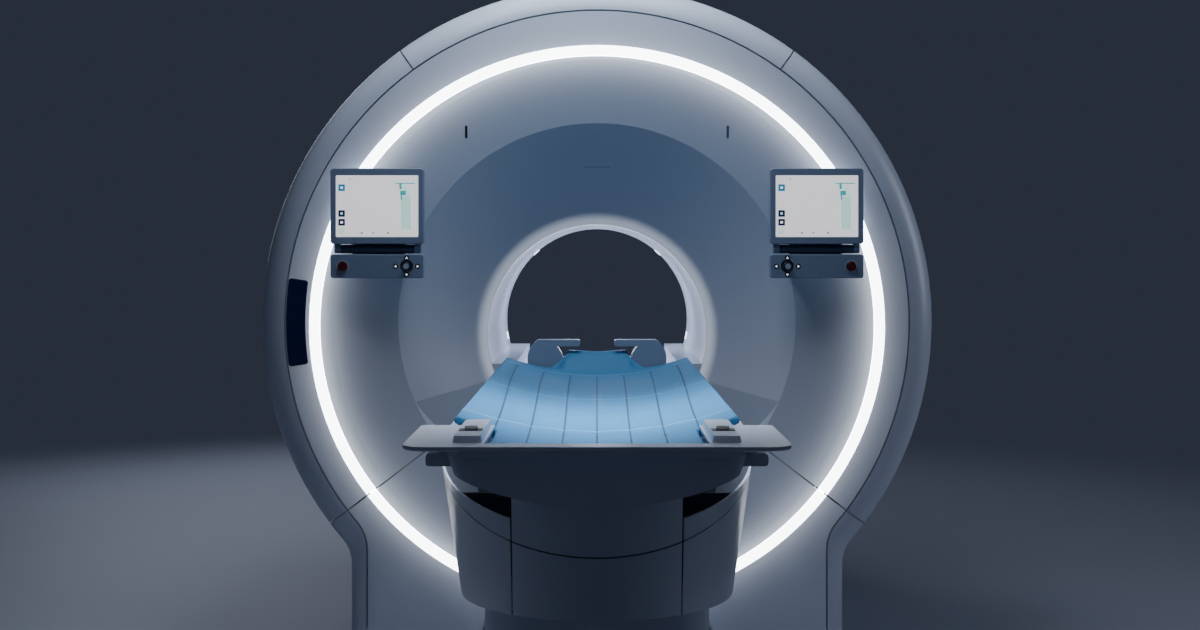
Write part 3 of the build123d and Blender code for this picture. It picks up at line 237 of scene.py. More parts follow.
def addGrain(tree, shader, place, grain, strength, stretch=(1, 1, 1)):
    turned = addNode(tree, "ShaderNodeMapping", {"Vector": place, "Scale": stretch})
    specks = addNode(tree, "ShaderNodeTexNoise", {
        "Vector": turned.outputs["Vector"], "Scale": 1 / grain, "Detail": 2.0})
    bump = addNode(tree, "ShaderNodeBump", {
        "Height": specks.outputs["Fac"], "Strength": strength, "Distance": grain * 0.1})
    tree.links.new(bump.outputs["Normal"], shader.inputs["Normal"])
    return bump


# Mattress: coated foam welded into panels, lying in the dish of the tabletop
mattress = {
    "colours": ("#3B86B4", "#357CAA"),
    "dishRadius": 0.795,
    "thickness": 0.018,
    "edge": 0.008,
    "overRail": 0.013,
    "railInner": 0.2675,
    "railTop": 0.9004,
    "footHalf": 0.1935,
    "headHalf": 0.096,
    "shoulderY": -2.721,
    "neckY": -0.908,
    "turnLength": 0.014,
    # points of the mesh: length of a step, points over the top, round an edge and underneath
    "stationStep": 0.0052,
    "topPoints": 121,
    "edgePoints": 7,
    "underPoints": 22,
    "endSteps": 6,
    # welded seams: long ones in the material and the relief, and raised welts across, painted lighter as a
    # painted highlight on their ridges
    "crossSeams": (-2.56, -1.83, -1.05),
    "seamCount": 3,
    "seamSpacing": (0.0655, 0.077),
    "spread": (-2.9, -1.05),
    "seamLine": 0.0012,
    "seamColour": "#123F60",
    "seamDepth": 0.0014,
    "seamHalf": 0.005,
    "weltHighlightLine": 0.003,
    "weltPaintedHighlight": "#84BAD8",
    "weltHeight": 0.0012,
    "weltHalf": 0.007,
    # groove beside a welt: share of the seam's depth, and distance in half welts
    "weltGroove": (0.4, 2.5),
    # ribs across the panels near the foot: they fade outwards, towards the head and at the seams
    "ribPitch": 0.042,
    "ribHeight": 0.0011,
    "ribReach": (0.15, 0.24),
    "ribFadeY": (-1.3, -1.9),
    "ribFadeSeam": (0.04, 0.2),
    # soft creases: height, then waves across and along
    "creaseHeight": 0.0009,
    "creaseWaves": (14, 5),
    "knitPitch": 0.0022,
    # head rest: where it rises, its top, how its sides fall away, and the hollow for the head
    "headRise": (-0.985, -0.87),
    "headTop": 0.932,
    "headSides": (-0.006, 0.03),
    "headHollow": 0.012,
    "hollowY": -0.83,
    "hollowReach": (0.05, 0.03),
}

# Moulded and painted surfaces: two close colours, a roughness range, the span of the drift and the grain
surfaces = {
    # Satin polyurethane enamel on moulded shells: soft highlights and a faint orange peel, 3 mm across
    "satinCoverEnamel": dict(colours=("#C6CEDB", "#BEC7D5"), roughness=(0.34, 0.42), span=0.9,
                             grain=0.003, bump=0.05, coat=0.15),
    # Gel-coated liner of the bore, smoother and whiter than the covers
    "gelCoatLiner": dict(colours=("#D9DEE6", "#D0D6E0"), roughness=(0.26, 0.34), span=0.7,
                         grain=0.004, bump=0.03, coat=0.2),
    # Gloss laminate of the tabletop and foot plate over a foam core
    "laminateBoard": dict(colours=("#CDD4DF", "#C4CCD9"), roughness=(0.28, 0.36), span=0.5,
                          grain=0.0025, bump=0.04, coat=0.2),
    # Polycarbonate moulding with a fine spark-eroded texture, 1.2 mm here so that it shows
    "mouldedGrey": dict(colours=("#8090A8", "#7888A0"), roughness=(0.38, 0.48), span=0.2,
                        grain=0.0012, bump=0.12, coat=0.0),
    # Pale ABS of the coil docks
    "paleAbs": dict(colours=("#A9B4C4", "#A1ADBE"), roughness=(0.36, 0.44), span=0.15,
                    grain=0.0014, bump=0.08, coat=0.0),
    # Black ABS with a matt spark-eroded texture
    "blackAbs": dict(colours=("#15181F", "#1B1F27"), roughness=(0.42, 0.55), span=0.06,
                     grain=0.001, bump=0.15, coat=0.0),
    # Gauze behind the sensor and microphone slots, its grey close to the covers in shade: painted shade on
    # a real gauze
    "gauzeInPaintedShade": dict(colours=("#6F7C92", "#687489"), roughness=(0.5, 0.6), span=0.02,
                      grain=0.001, bump=0.1, coat=0.0),
    # Painted sleeve of the display's hinge, dark navy grey
    "hingeSleeve": dict(colours=("#39435A", "#343E54"), roughness=(0.4, 0.5), span=0.1,
                        grain=0.0012, bump=0.1, coat=0.0),
    # Gloss dark red cap of the stop button, injection moulded
    "redCap": dict(colours=("#56141E", "#4A1019"), roughness=(0.22, 0.30), span=0.01,
                   grain=0.002, bump=0.02, coat=0.3),
    # Powder coat on welded steel: the grey has a 2.5 mm orange peel
    "powderCoatGrey": dict(colours=("#6A7078", "#62686F"), roughness=(0.45, 0.55), span=0.4,
                           grain=0.0025, bump=0.15, coat=0.0),
    # Cast and filled epoxy of the coils, amber brown and slightly uneven
    "castEpoxy": dict(colours=("#8A7A58", "#7B6B4B"), roughness=(0.35, 0.5), span=0.25,
                      grain=0.005, bump=0.1, coat=0.1),
    # Neoprene of the toothed belt, matt black
    "neoprene": dict(colours=("#1A1A1C", "#222225"), roughness=(0.6, 0.75), span=0.1,
                     grain=0.001, bump=0.2, coat=0.0),
    # Printed vinyl of the bare plate on the face, deep navy
    "navyVinyl": dict(colours=("#10204C", "#142655"), roughness=(0.3, 0.38), span=0.1,
                      grain=0.002, bump=0.03, coat=0.1),
}


def mouldedFinish(name):
    look = surfaces[name]
    finish, tree, shader, place = startFinish(name, Coat_Weight=look["coat"], Coat_Roughness=0.15, IOR=1.5)
    addDrift(tree, shader, place, look["colours"], look["roughness"], look["span"])
    addGrain(tree, shader, place, look["grain"], look["bump"])
    return finish


# The shell beside the lit ring: the same enamel with painted light, an emission that stands in for the
# ring's light falling on the cover round the groove. The ring is an oval, and the painted glow falls off
# with the distance from its edge. The lip of the bore's mouth gets painted light in the same way, in place
# of the light of the bore's lamps
paintedGlow = {
    "centre": (0.0, 0.0, 1.006),
    "half": 0.859,
    "tall": 0.838,
    "halfBand": 0.015,
    # inward and outward: reach in metres and strength of the painted glow at the ring's edge
    "inward": (0.037, 0.95),
    "outward": (0.040, 0.36),
    "colour": "#E8F0FF",
    "boreAxis": (0.0, 0.0, 0.970),
    # radii of the lip between which the painted light fades, and its strength
    "mouthFade": (0.356, 0.392),
    "mouthPaintedLight": 0.34,
}


def ovalReach(tree, place, centre, half, tall):
    # distance from the centre in the upright plane, with the height stretched so that an oval is a circle
    centred = addNode(tree, "ShaderNodeVectorMath", {
        0: place, 1: tuple(-c for c in centre)}, operation="ADD")
    flat = addNode(tree, "ShaderNodeVectorMath", {0: centred, 1: (1, 0, half / tall)}, operation="MULTIPLY")
    return addNode(tree, "ShaderNodeVectorMath", {0: flat}, operation="LENGTH").outputs["Value"]


def enamelWithPaintedGlow():
    finish = mouldedFinish("satinCoverEnamel")
    finish.name = "enamelPaintedLampGlow"
    tree = finish.node_tree
    shader = next(n for n in tree.nodes if n.type == "BSDF_PRINCIPLED")
    place = next(n for n in tree.nodes if n.type == "TEX_COORD").outputs["Object"]
    radius = ovalReach(tree, place, paintedGlow["centre"], paintedGlow["half"], paintedGlow["tall"])
    mouth = addNode(tree, "ShaderNodeMapRange", {
        "Value": ovalReach(tree, place, paintedGlow["boreAxis"], 1, 1),
        "From Min": paintedGlow["mouthFade"][0],
        "From Max": paintedGlow["mouthFade"][1],
        "To Min": paintedGlow["mouthPaintedLight"],
        "To Max": 0.0,
    }, interpolation_type="SMOOTHSTEP")
    total = mouth
    for side, (reach, most) in ((-1, paintedGlow["inward"]), (1, paintedGlow["outward"])):
        edge = paintedGlow["half"] + side * paintedGlow["halfBand"]
        away = addNode(tree, "ShaderNodeMath", {0: radius, 1: edge}, operation="SUBTRACT")
        power = addNode(tree, "ShaderNodeMath", {0: away, 1: -side / reach}, operation="MULTIPLY")
        # the power is above nothing across the ring, where this side's painted glow ends
        here = addNode(tree, "ShaderNodeMath", {0: power, 1: 0.05}, operation="LESS_THAN")
        fall = addNode(tree, "ShaderNodeMath", {0: power}, operation="EXPONENT")
        part = addNode(tree, "ShaderNodeMath", {0: fall, 1: here}, operation="MULTIPLY")
        part = addNode(tree, "ShaderNodeMath", {0: part, 1: most}, operation="MULTIPLY")
        total = addNode(tree, "ShaderNodeMath", {0: total, 1: part}, operation="ADD")
    # this emission is painted light on the shell: the ring's and the bore lamps' light falling on it, not a
    # lamp in it
    shader.inputs["Emission Color"].default_value = toLinear(paintedGlow["colour"])
    tree.links.new(total.outputs[0], shader.inputs["Emission Strength"])
    return finish


# Turned or brushed metal: fine lines along one way and a soft streaked shine
metals = {
    "brushedSteel": dict(colours=("#8D9196", "#A0A4A8"), roughness=(0.28, 0.4), span=0.3,
                         grain=0.002, bump=0.12, stretch=(0.02, 1, 1)),
    "machinedAluminium": dict(colours=("#A9ADB2", "#BABDC1"), roughness=(0.28, 0.4), span=0.3,
                              grain=0.0015, bump=0.12, stretch=(1, 0.05, 1)),
}


def linedMetal(name):
    look = metals[name]
    finish, tree, shader, place = startFinish(name, Metallic=1.0)
    addDrift(tree, shader, place, look["colours"], look["roughness"], look["span"])
    addGrain(tree, shader, place, look["grain"], look["bump"], look["stretch"])
    return finish


def opalAcrylic(name, strength):
    # Opal acrylic lit from behind: even white light with the faintest mottling
    finish, tree, shader, place = startFinish(name, Roughness=0.25, IOR=1.49)
    cloud = addNode(tree, "ShaderNodeTexNoise", {"Vector": place, "Scale": 25.0, "Detail": 1.0})
    tint = addNode(tree, "ShaderNodeMix", {
        "Factor": cloud.outputs["Fac"], 6: toLinear("#F4F8FF"), 7: toLinear("#FFFFFF")}, data_type="RGBA")
    tree.links.new(tint.outputs[2], shader.inputs["Base Color"])
    tree.links.new(tint.outputs[2], shader.inputs["Emission Color"])
    shader.inputs["Emission Strength"].default_value = strength
    return finish


def litInk(name, colour, strength):
    # A patch of the switched-on display under glass, very slightly uneven
    finish, tree, shader, place = startFinish(name, Roughness=0.2, IOR=1.5)
    cloud = addNode(tree, "ShaderNodeTexNoise", {"Vector": place, "Scale": 8.0})
    darker = [c * 0.96 for c in toLinear(colour)[:3]] + [1.0]
    tint = addNode(tree, "ShaderNodeMix", {
        "Factor": cloud.outputs["Fac"], 6: toLinear(colour), 7: darker}, data_type="RGBA")
    tree.links.new(tint.outputs[2], shader.inputs["Base Color"])
    tree.links.new(tint.outputs[2], shader.inputs["Emission Color"])
    shader.inputs["Emission Strength"].default_value = strength
    return finish


waveTurn = 6.28         # a wave texture of scale 1 repeats this many times in a unit


def woundCopper():
    # Enamelled copper under resin: turns 6 mm apart show as fine rings along the axis
    turnPitch = 0.006
    finish, tree, shader, place = startFinish("woundCopper", Metallic=0.6, Roughness=0.4)
    turns = addNode(tree, "ShaderNodeTexWave", {
        "Vector": place, "Scale": 1 / turnPitch / waveTurn, "Distortion": 0.4},
        wave_type="BANDS", bands_direction="Y")
    tint = addNode(tree, "ShaderNodeMix", {
        "Factor": turns.outputs["Fac"], 6: toLinear("#7A4524"), 7: toLinear("#B06A3A")}, data_type="RGBA")
    tree.links.new(tint.outputs[2], shader.inputs["Base Color"])
    bump = addNode(tree, "ShaderNodeBump", {
        "Height": turns.outputs["Fac"], "Strength": 0.3, "Distance": 0.001})
    tree.links.new(bump.outputs["Normal"], shader.inputs["Normal"])
    return finish


def coatedKnit():
    # Polyurethane-coated knit over foam, welded along its seams: a soft sheen and a fine knit,
    # drawn 2.2 mm apart so that it shows. The long seams spread towards the head
    m = mattress
    finish, tree, shader, place = startFinish(
        "coatedKnit", Sheen_Weight=0.06, Sheen_Roughness=0.4, IOR=1.4)
    tint = addDrift(tree, shader, place, m["colours"], (0.55, 0.65), 0.35).outputs[2]
    axes = addNode(tree, "ShaderNodeSeparateXYZ", {0: place})
    x, y = axes.outputs["X"], axes.outputs["Y"]

    # distance from the nearest long seam, and whether that seam is there at all
    pitch = addNode(tree, "ShaderNodeMapRange", {
        "Value": y, "From Min": m["spread"][0], "From Max": m["spread"][1],
        "To Min": m["seamSpacing"][0], "To Max": m["seamSpacing"][1]},
        interpolation_type="SMOOTHSTEP")
    count = addNode(tree, "ShaderNodeMath", {0: x, 1: pitch}, operation="DIVIDE")
    nearest = addNode(tree, "ShaderNodeMath", {0: count}, operation="ROUND")
    beside = addNode(tree, "ShaderNodeMath", {0: count, 1: nearest}, operation="SUBTRACT")
    beside = addNode(tree, "ShaderNodeMath", {0: beside}, operation="ABSOLUTE")
    beside = addNode(tree, "ShaderNodeMath", {0: beside, 1: pitch}, operation="MULTIPLY")
    order = addNode(tree, "ShaderNodeMath", {0: nearest}, operation="ABSOLUTE")
    sewn = addNode(tree, "ShaderNodeMath", {0: order, 1: m["seamCount"] + 0.5}, operation="LESS_THAN")
    quilted = addNode(tree, "ShaderNodeMath", {0: y, 1: m["crossSeams"][-1]}, operation="LESS_THAN")
    sewn = addNode(tree, "ShaderNodeMath", {0: sewn, 1: quilted}, operation="MULTIPLY")

    # each line: distance from it, half its width, how much of it shows, its colour
    lines = [(beside, m["seamLine"], 0.95, m["seamColour"])]
    for crossY in m["crossSeams"]:
        across = addNode(tree, "ShaderNodeMath", {0: y, 1: crossY}, operation="SUBTRACT")
        across = addNode(tree, "ShaderNodeMath", {0: across}, operation="ABSOLUTE")
        # the welts are painted lighter: a painted highlight in place of the light on their raised ridges
        lines.append((across, m["weltHighlightLine"], 0.8, m["weltPaintedHighlight"]))
    for distance, half, most, colour in lines:
        shown = addNode(tree, "ShaderNodeMapRange", {
            "Value": distance, "From Min": half, "From Max": 2 * half, "To Min": most, "To Max": 0.0},
            interpolation_type="SMOOTHSTEP")
        if distance == beside:
            shown = addNode(tree, "ShaderNodeMath", {0: shown, 1: sewn}, operation="MULTIPLY")
        tint = addNode(tree, "ShaderNodeMix", {
            "Factor": shown, 6: tint, 7: toLinear(colour)}, data_type="RGBA").outputs[2]
    tree.links.new(tint, shader.inputs["Base Color"])

    rows = [addNode(tree, "ShaderNodeTexWave", {
        "Vector": place, "Scale": 1 / m["knitPitch"] / waveTurn, "Distortion": 0.6, "Detail": 1.0},
        wave_type="BANDS", bands_direction=direction).outputs["Fac"] for direction in ("X", "Y")]
    knit = addNode(tree, "ShaderNodeMath", {0: rows[0], 1: rows[1]}, operation="MULTIPLY")
    bump = addNode(tree, "ShaderNodeBump", {"Height": knit, "Strength": 0.12, "Distance": 0.0004})
    tree.links.new(bump.outputs["Normal"], shader.inputs["Normal"])
    return finish


finishes = {name: mouldedFinish(name) for name in surfaces}
finishes.update({name: linedMetal(name) for name in metals})
finishes["enamelWithPaintedGlow"] = enamelWithPaintedGlow()
finishes["opalRing"] = opalAcrylic("opalRing", 9.0)
finishes["opalLens"] = opalAcrylic("opalLens", 2.0)
finishes["arrowInk"] = litInk("arrowInk", "#E4ECF6", 0.9)
finishes["screenPanel"] = litInk("screenPanel", "#D2D0D3", 1.3)
finishes["woundCopper"] = woundCopper()
finishes["coatedKnit"] = coatedKnit()

# The record's slots and the finish of each
slotFinishes = {
    "cover_white": "satinCoverEnamel",
    "liner_white": "gelCoatLiner",
    "light_acrylic": "opalRing",
    "lamp_strip": "opalLens",
    "steel": "brushedSteel",
    "painted_steel": "powderCoatGrey",
    "copper_resin": "woundCopper",
    "resin": "castEpoxy",
    "board": "laminateBoard",
    "mattress_vinyl": "coatedKnit",
    "grey_plastic": "mouldedGrey",
    "dark_plastic": "blackAbs",
    "screen": "screenPanel",
    "button_red": "redCap",
    "arrow_white": "arrowInk",
    "belt_rubber": "neoprene",
    "aluminium": "machinedAluminium",
}
nodeFinishes = {
    # the front covers carry painted light: the glow of the lit ring and of the bore's mouth
    "front_cover_upper": "enamelWithPaintedGlow",
    "front_cover_lower": "enamelWithPaintedGlow",
    "bore_lamps": "opalLens",
    "head_docks": "paleAbs",
    "display_hinges": "hingeSleeve",
}
for name, node in nodes.items():
    slotName = node.data.materials[0].name.split(".")[0]
    chosen = nodeFinishes.get(name, slotFinishes[slotName])
    for index in range(len(node.data.materials)):
        node.data.materials[index] = finishes[chosen]
print("finishes given to", len(nodes), "nodes")


def seamSpacing(y):
    near, far = mattress["seamSpacing"]
    return near + (far - near) * smoothStep(*mattress["spread"], y)


def mattressHalf(y, widest):
    m = mattress
    shoulder = smoothStep(m["shoulderY"] - m["turnLength"], m["shoulderY"] + m["turnLength"], y)
    neck = smoothStep(m["neckY"] - m["turnLength"], m["neckY"] + m["turnLength"], y)
    half = m["footHalf"] + (widest - m["footHalf"]) * shoulder
    return half + (m["headHalf"] - half) * neck


def mattressRelief(x, y):
    m = mattress
    pitch = seamSpacing(y)
    nearest = round(x / pitch)
    across = abs(x / pitch - nearest)
    quilted = 1.0 if y < m["crossSeams"][-1] else 0.0
    height = 0.0
    if abs(nearest) <= m["seamCount"]:
        height -= quilted * m["seamDepth"] * math.exp(-((x - nearest * pitch) / m["seamHalf"]) ** 2)
    for crossY in m["crossSeams"]:
        height += m["weltHeight"] * math.exp(-((y - crossY) / m["weltHalf"]) ** 2)
        grooveY = crossY - m["weltGroove"][1] * m["weltHalf"]
        height -= m["weltGroove"][0] * m["seamDepth"] * math.exp(-((y - grooveY) / m["weltHalf"]) ** 2)
    fade = (1 - smoothStep(*m["ribReach"], abs(x))) * smoothStep(*m["ribFadeY"], y)
    fade *= smoothStep(*m["ribFadeSeam"], across)
    height += m["ribHeight"] * fade * math.cos(2 * math.pi * y / m["ribPitch"])
    wavesX, wavesY = m["creaseWaves"]
    return height + m["creaseHeight"] * noise.noise(Vector((x * wavesX, y * wavesY, 0.3)))


def mattressMesh():
    m = mattress
    low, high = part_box("mattress")
    widest = high.x + m["overRail"]
    count = round((high.y - low.y) / m["stationStep"])
    near = low.y + m["edge"]
    far = high.y - m["edge"]
    stations = [low.y + (high.y - low.y) * i / count for i in range(1, count)]
    places = [(y, 1.0) for y in stations if near < y < far]
    for step in range(1, m["endSteps"]):
        angle = math.radians(90 * step / m["endSteps"])
        inset = m["edge"] * (1 - math.sin(angle))
        places.append((low.y + inset, math.sin(angle)))
        places.append((high.y - inset, math.sin(angle)))

    def heights(x, y, pinch):
        under = low.z + m["dishRadius"] - math.sqrt(m["dishRadius"] ** 2 - x * x)
        top = under + m["thickness"] + mattressRelief(x, y)
        lift = smoothStep(*m["headRise"], y)
        lift *= 1 - smoothStep(*(m["headHalf"] + side for side in m["headSides"]), abs(x))
        reachX, reachY = m["hollowReach"]
        hollow = m["headHollow"] * math.exp(-(x / reachX) ** 2 - ((y - m["hollowY"]) / reachY) ** 2)
        top += lift * (m["headTop"] - hollow - top)
        return (under + top) / 2, (top - under) / 2 * pinch

    rings = []
    for y, pinch in sorted(places):
        half = mattressHalf(y, widest) - m["edge"] * (1 - pinch) * 0.5
        flat = half - m["edge"]
        ring = []
        for i in range(m["topPoints"]):
            x = -flat + 2 * flat * i / (m["topPoints"] - 1)
            middle, deep = heights(x, y, pinch)
            ring.append((x, middle + deep))
        for side in (1, -1):
            middle, deep = heights(side * flat, y, pinch)
            for i in range(1, m["edgePoints"] + 1):
                angle = math.radians(90 - 180 * i / (m["edgePoints"] + 1)) * side
                ring.append((side * (flat + m["edge"] * math.cos(angle)), middle + deep * math.sin(angle)))
            if side == 1:
                for i in range(m["underPoints"]):
                    x = flat - 2 * flat * i / (m["underPoints"] - 1)
                    middle, deep = heights(x, y, pinch)
                    ring.append((x, middle - deep))
        # the edge rolls over the rail and doesn't sink into it
        rings.append([(x, y, max(z, m["railTop"]) if abs(x) > m["railInner"] else z) for x, z in ring])

    def build(shape):
        verts = [[shape.verts.new(point) for point in ring] for ring in rings]
        for first, second in zip(verts, verts[1:]):
            for i in range(len(first)):
                j = (i + 1) % len(first)
                shape.faces.new((first[i], first[j], second[j], second[i]))
        shape.faces.new(verts[0])
        shape.faces.new(list(reversed(verts[-1])))

    return meshFrom(build)


pad = newPiece("tableMattress", mattressMesh(), finishes["coatedKnit"], "patient_board")
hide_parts("mattress")
print("mattress made:", len(pad.data.polygons), "faces")


# What the displays show: a plain generic page, in fractions of the screen from its lower left corner
page = {
    "lift": 0.0004,
    "depth": 0.0003,
    "layer": 0.00006,
    "corner": 0.0012,
    "strength": 1.2,
    "inks": {
        "midBlueInk": "#15688F",
        "navyInk": "#0A1A38",
        "tealInk": "#A9CDC8",
        "paleTealInk": "#BFDAD8",
        "mintInk": "#B4D2C9",
        "deepTealInk": "#2B8D92",
        "greyInk": "#B9B9BD",
        "dotInk": "#6F737C",
        "whiteInk": "#EEF1F2",
    },
    # ink, left, bottom, width, height
    "patches": (
        ("midBlueInk", 0.029, 0.745, 0.081, 0.110),
        ("navyInk", 0.029, 0.327, 0.081, 0.108),
        ("navyInk", 0.029, 0.184, 0.081, 0.108),
        ("mintInk", 0.029, 0.044, 0.081, 0.096),
        ("whiteInk", 0.055, 0.782, 0.030, 0.036),
        ("tealInk", 0.056, 0.362, 0.027, 0.038),
        ("whiteInk", 0.054, 0.220, 0.032, 0.036),
        ("dotInk", 0.162, 0.927, 0.018, 0.024),
        ("greyInk", 0.222, 0.933, 0.093, 0.010),
        ("greyInk", 0.378, 0.771, 0.128, 0.010),
        ("paleTealInk", 0.800, 0.640, 0.112, 0.200),
        ("tealInk", 0.789, 0.121, 0.128, 0.530),
        ("deepTealInk", 0.722, 0.862, 0.240, 0.016),
        ("deepTealInk", 0.772, 0.775, 0.028, 0.090),
        ("deepTealInk", 0.782, 0.678, 0.070, 0.072),
        ("deepTealInk", 0.788, 0.600, 0.018, 0.085),
        ("dotInk", 0.303, 0.052, 0.024, 0.032),
        ("dotInk", 0.445, 0.054, 0.022, 0.028),
        ("dotInk", 0.623, 0.052, 0.024, 0.032),
        ("greyInk", 0.836, 0.054, 0.022, 0.026),
        ("greyInk", 0.946, 0.054, 0.020, 0.026),
    ),
}


def roundedPlate(shape, x0, x1, z0, z1, y0, y1, corner, steps=4):
    outline = []
    for cx, cz, start in ((x1 - corner, z1 - corner, 0), (x0 + corner, z1 - corner, 90),
                          (x0 + corner, z0 + corner, 180), (x1 - corner, z0 + corner, 270)):
        for i in range(steps + 1):
            angle = math.radians(start + 90 * i / steps)
            outline.append((cx + corner * math.cos(angle), cz + corner * math.sin(angle)))
    front = [shape.verts.new((x, y0, z)) for x, z in outline]
    back = [shape.verts.new((x, y1, z)) for x, z in outline]
    shape.faces.new(front)
    shape.faces.new(list(reversed(back)))
    for i in range(len(front)):
        j = (i + 1) % len(front)
        shape.faces.new((front[i], back[i], back[j], front[j]))


def drawPage(side):
    low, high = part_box("display_screen_" + side)
    across = high.x - low.x
    tall = high.z - low.z
    for ink, colour in page["inks"].items():
        if ink not in finishes:
            finishes[ink] = litInk(ink, colour, page["strength"])

        def build(shape):
            for order, (name, left, bottom, width, height) in enumerate(page["patches"]):
                if name != ink:
                    continue
                lift = page["lift"] + page["layer"] * order
                x0 = low.x + left * across
                z0 = low.z + bottom * tall
                corner = min(page["corner"], width * across / 3, height * tall / 3)
                roundedPlate(shape, x0, x0 + width * across, z0, z0 + height * tall,
                             low.y - lift, low.y - lift + page["depth"], corner)

        newPiece(ink + "_" + side, meshFrom(build, smooth=False), finishes[ink],
                 "display_" + side)


for side in ("left", "right"):
    drawPage(side)
print("display pages drawn")


# Bare navy plate on the left of the face, where the object has its name
plate = {"inner": 0.887, "outer": 0.946, "halfAngle": 8.2, "centreZ": 1.017, "thick": 0.0012, "steps": 48,
         "corner": 0.006, "lift": 0.0001}


def platePoints():
    p = plate
    middle = (p["inner"] + p["outer"]) / 2
    points = []
    for radius, sign in ((p["outer"], 1), (p["inner"], -1)):
        for i in range(p["steps"] + 1):
            share = -1 + 2 * i / p["steps"]
            angle = sign * p["halfAngle"] * share
            # the corners are rounded off over the last few millimetres
            along = math.radians(p["halfAngle"] - abs(angle)) * middle
            pull = max(p["corner"] - along, 0.0)
            drop = p["corner"] - math.sqrt(max(p["corner"] ** 2 - pull ** 2, 0.0))
            r = radius - drop if radius == p["outer"] else radius + drop
            turn = math.radians(180 + angle)
            points.append((r * math.cos(turn), p["centreZ"] + r * math.sin(turn)))
    return points


def plateMesh():
    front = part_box("front_cover_upper")[0].y

    def build(shape):
        outline = platePoints()
        face = [shape.verts.new((x, front - plate["thick"], z)) for x, z in outline]
        back = [shape.verts.new((x, front - plate["lift"], z)) for x, z in outline]
        shape.faces.new(face)
        shape.faces.new(list(reversed(back)))
        for i in range(len(face)):
            j = (i + 1) % len(face)
            shape.faces.new((face[i], back[i], back[j], face[j]))

    return meshFrom(build, smooth=False)


newPiece("barePlate", plateMesh(), finishes["navyVinyl"], "magnet")
print("bare plate made")


# Screw caps along the barrel's edges: small domed plugs, placed where a ray meets the cover
caps = {
    "radius": 0.011,
    "height": 0.0025,
    # share of the radius where the rim ends and the dome ends, and the dome's height over the rim's
    "rimShare": 0.78,
    "domeShare": 0.4,
    "domeRise": 1.25,
    "sides": 20,
    "stations": (-0.57, 0.70),
    "angles": (18, 52, 86, 112, 248, 274, 308, 342),
    "axisHeight": 1.017,
    "start": 1.3,
}


def coverTree(*names):
    shape = bmesh.new()
    for name in names:
        shape.from_mesh(nodes[name].data)
    tree = BVHTree.FromBMesh(shape)
    shape.free()
    return tree


def capPlaces():
    barrel = coverTree("barrel_covers")
    places = []
    for y in caps["stations"]:
        for degrees in caps["angles"]:
            outward = Vector((math.sin(math.radians(degrees)), 0, math.cos(math.radians(degrees))))
            start = Vector((0, y, caps["axisHeight"])) + caps["start"] * outward
            point, normal = barrel.ray_cast(start, -outward)[:2]
            if point is not None:
                places.append((point, normal))
    return places


def capTree(finish):
    tree = bpy.data.node_groups.new("screwCaps", "GeometryNodeTree")
    sockets = {}
    for label, kind in (("Places", "NodeSocketGeometry"), ("Cap radius", "NodeSocketFloat"),
                        ("Cap height", "NodeSocketFloat"), ("Sides", "NodeSocketInt")):
        sockets[label] = tree.interface.new_socket(label, in_out="INPUT", socket_type=kind)
    tree.interface.new_socket("Caps", in_out="OUTPUT", socket_type="NodeSocketGeometry")
    entry = addNode(tree, "NodeGroupInput")
    facing = addNode(tree, "GeometryNodeInputNamedAttribute", {"Name": "facing"}, data_type="FLOAT_VECTOR")
    turn = addNode(tree, "FunctionNodeAlignRotationToVector", {
        "Vector": facing.outputs["Attribute"]}, axis="Z")
    crown = addNode(tree, "ShaderNodeMath", {
        0: entry.outputs["Cap radius"], 1: caps["rimShare"]}, operation="MULTIPLY")
    rim = addNode(tree, "GeometryNodeMeshCone", {
        "Vertices": entry.outputs["Sides"],
        "Radius Top": crown.outputs[0],
        "Radius Bottom": entry.outputs["Cap radius"],
        "Depth": entry.outputs["Cap height"],
    })
    inner = addNode(tree, "ShaderNodeMath", {
        0: entry.outputs["Cap radius"], 1: caps["domeShare"]}, operation="MULTIPLY")
    rise = addNode(tree, "ShaderNodeMath", {
        0: entry.outputs["Cap height"], 1: caps["domeRise"]}, operation="MULTIPLY")
    dome = addNode(tree, "GeometryNodeMeshCone", {
        "Vertices": entry.outputs["Sides"],
        "Radius Top": inner.outputs[0],
        "Radius Bottom": crown.outputs[0],
        "Depth": rise.outputs[0],
    })
    both = addNode(tree, "GeometryNodeJoinGeometry")
    tree.links.new(rim.outputs["Mesh"], both.inputs[0])
    tree.links.new(dome.outputs["Mesh"], both.inputs[0])
    spread = addNode(tree, "GeometryNodeInstanceOnPoints", {
        "Points": entry.outputs["Places"],
        "Instance": both.outputs[0],
        "Rotation": turn.outputs["Rotation"],
    })
    real = addNode(tree, "GeometryNodeRealizeInstances", {"Geometry": spread.outputs["Instances"]})
    coat = addNode(tree, "GeometryNodeSetMaterial", {"Geometry": real.outputs[0], "Material": finish})
    addNode(tree, "NodeGroupOutput", {0: coat.outputs[0]})
    return tree, sockets


def grownMesh(source, tree, values):
    modifier = source.modifiers.new(tree.name, "NODES")
    modifier.node_group = tree
    for socket, value in values:
        modifier[socket.identifier] = value
    bpy.context.view_layer.update()
    grown = source.evaluated_get(bpy.context.evaluated_depsgraph_get())
    mesh = bpy.data.meshes.new_from_object(grown)
    source.modifiers.remove(modifier)
    bpy.data.objects.remove(source, do_unlink=True)
    return mesh


def makeCaps():
    places = capPlaces()
    points = bpy.data.meshes.new("capPlaces")
    points.from_pydata([p for p, n in places], [], [])
    facing = points.attributes.new("facing", "FLOAT_VECTOR", "POINT")
    for i, (point, normal) in enumerate(places):
        facing.data[i].vector = normal
    source = bpy.data.objects.new("capPlaces", points)
    bpy.context.scene.collection.objects.link(source)
    tree, sockets = capTree(finishes["satinCoverEnamel"])
    mesh = grownMesh(source, tree, (
        (sockets["Cap radius"], caps["radius"]),
        (sockets["Cap height"], caps["height"]),
        (sockets["Sides"], caps["sides"]),
    ))
    newPiece("barrelScrewCaps", mesh, finishes["satinCoverEnamel"], "magnet")
    print("screw caps:", len(places))


makeCaps()

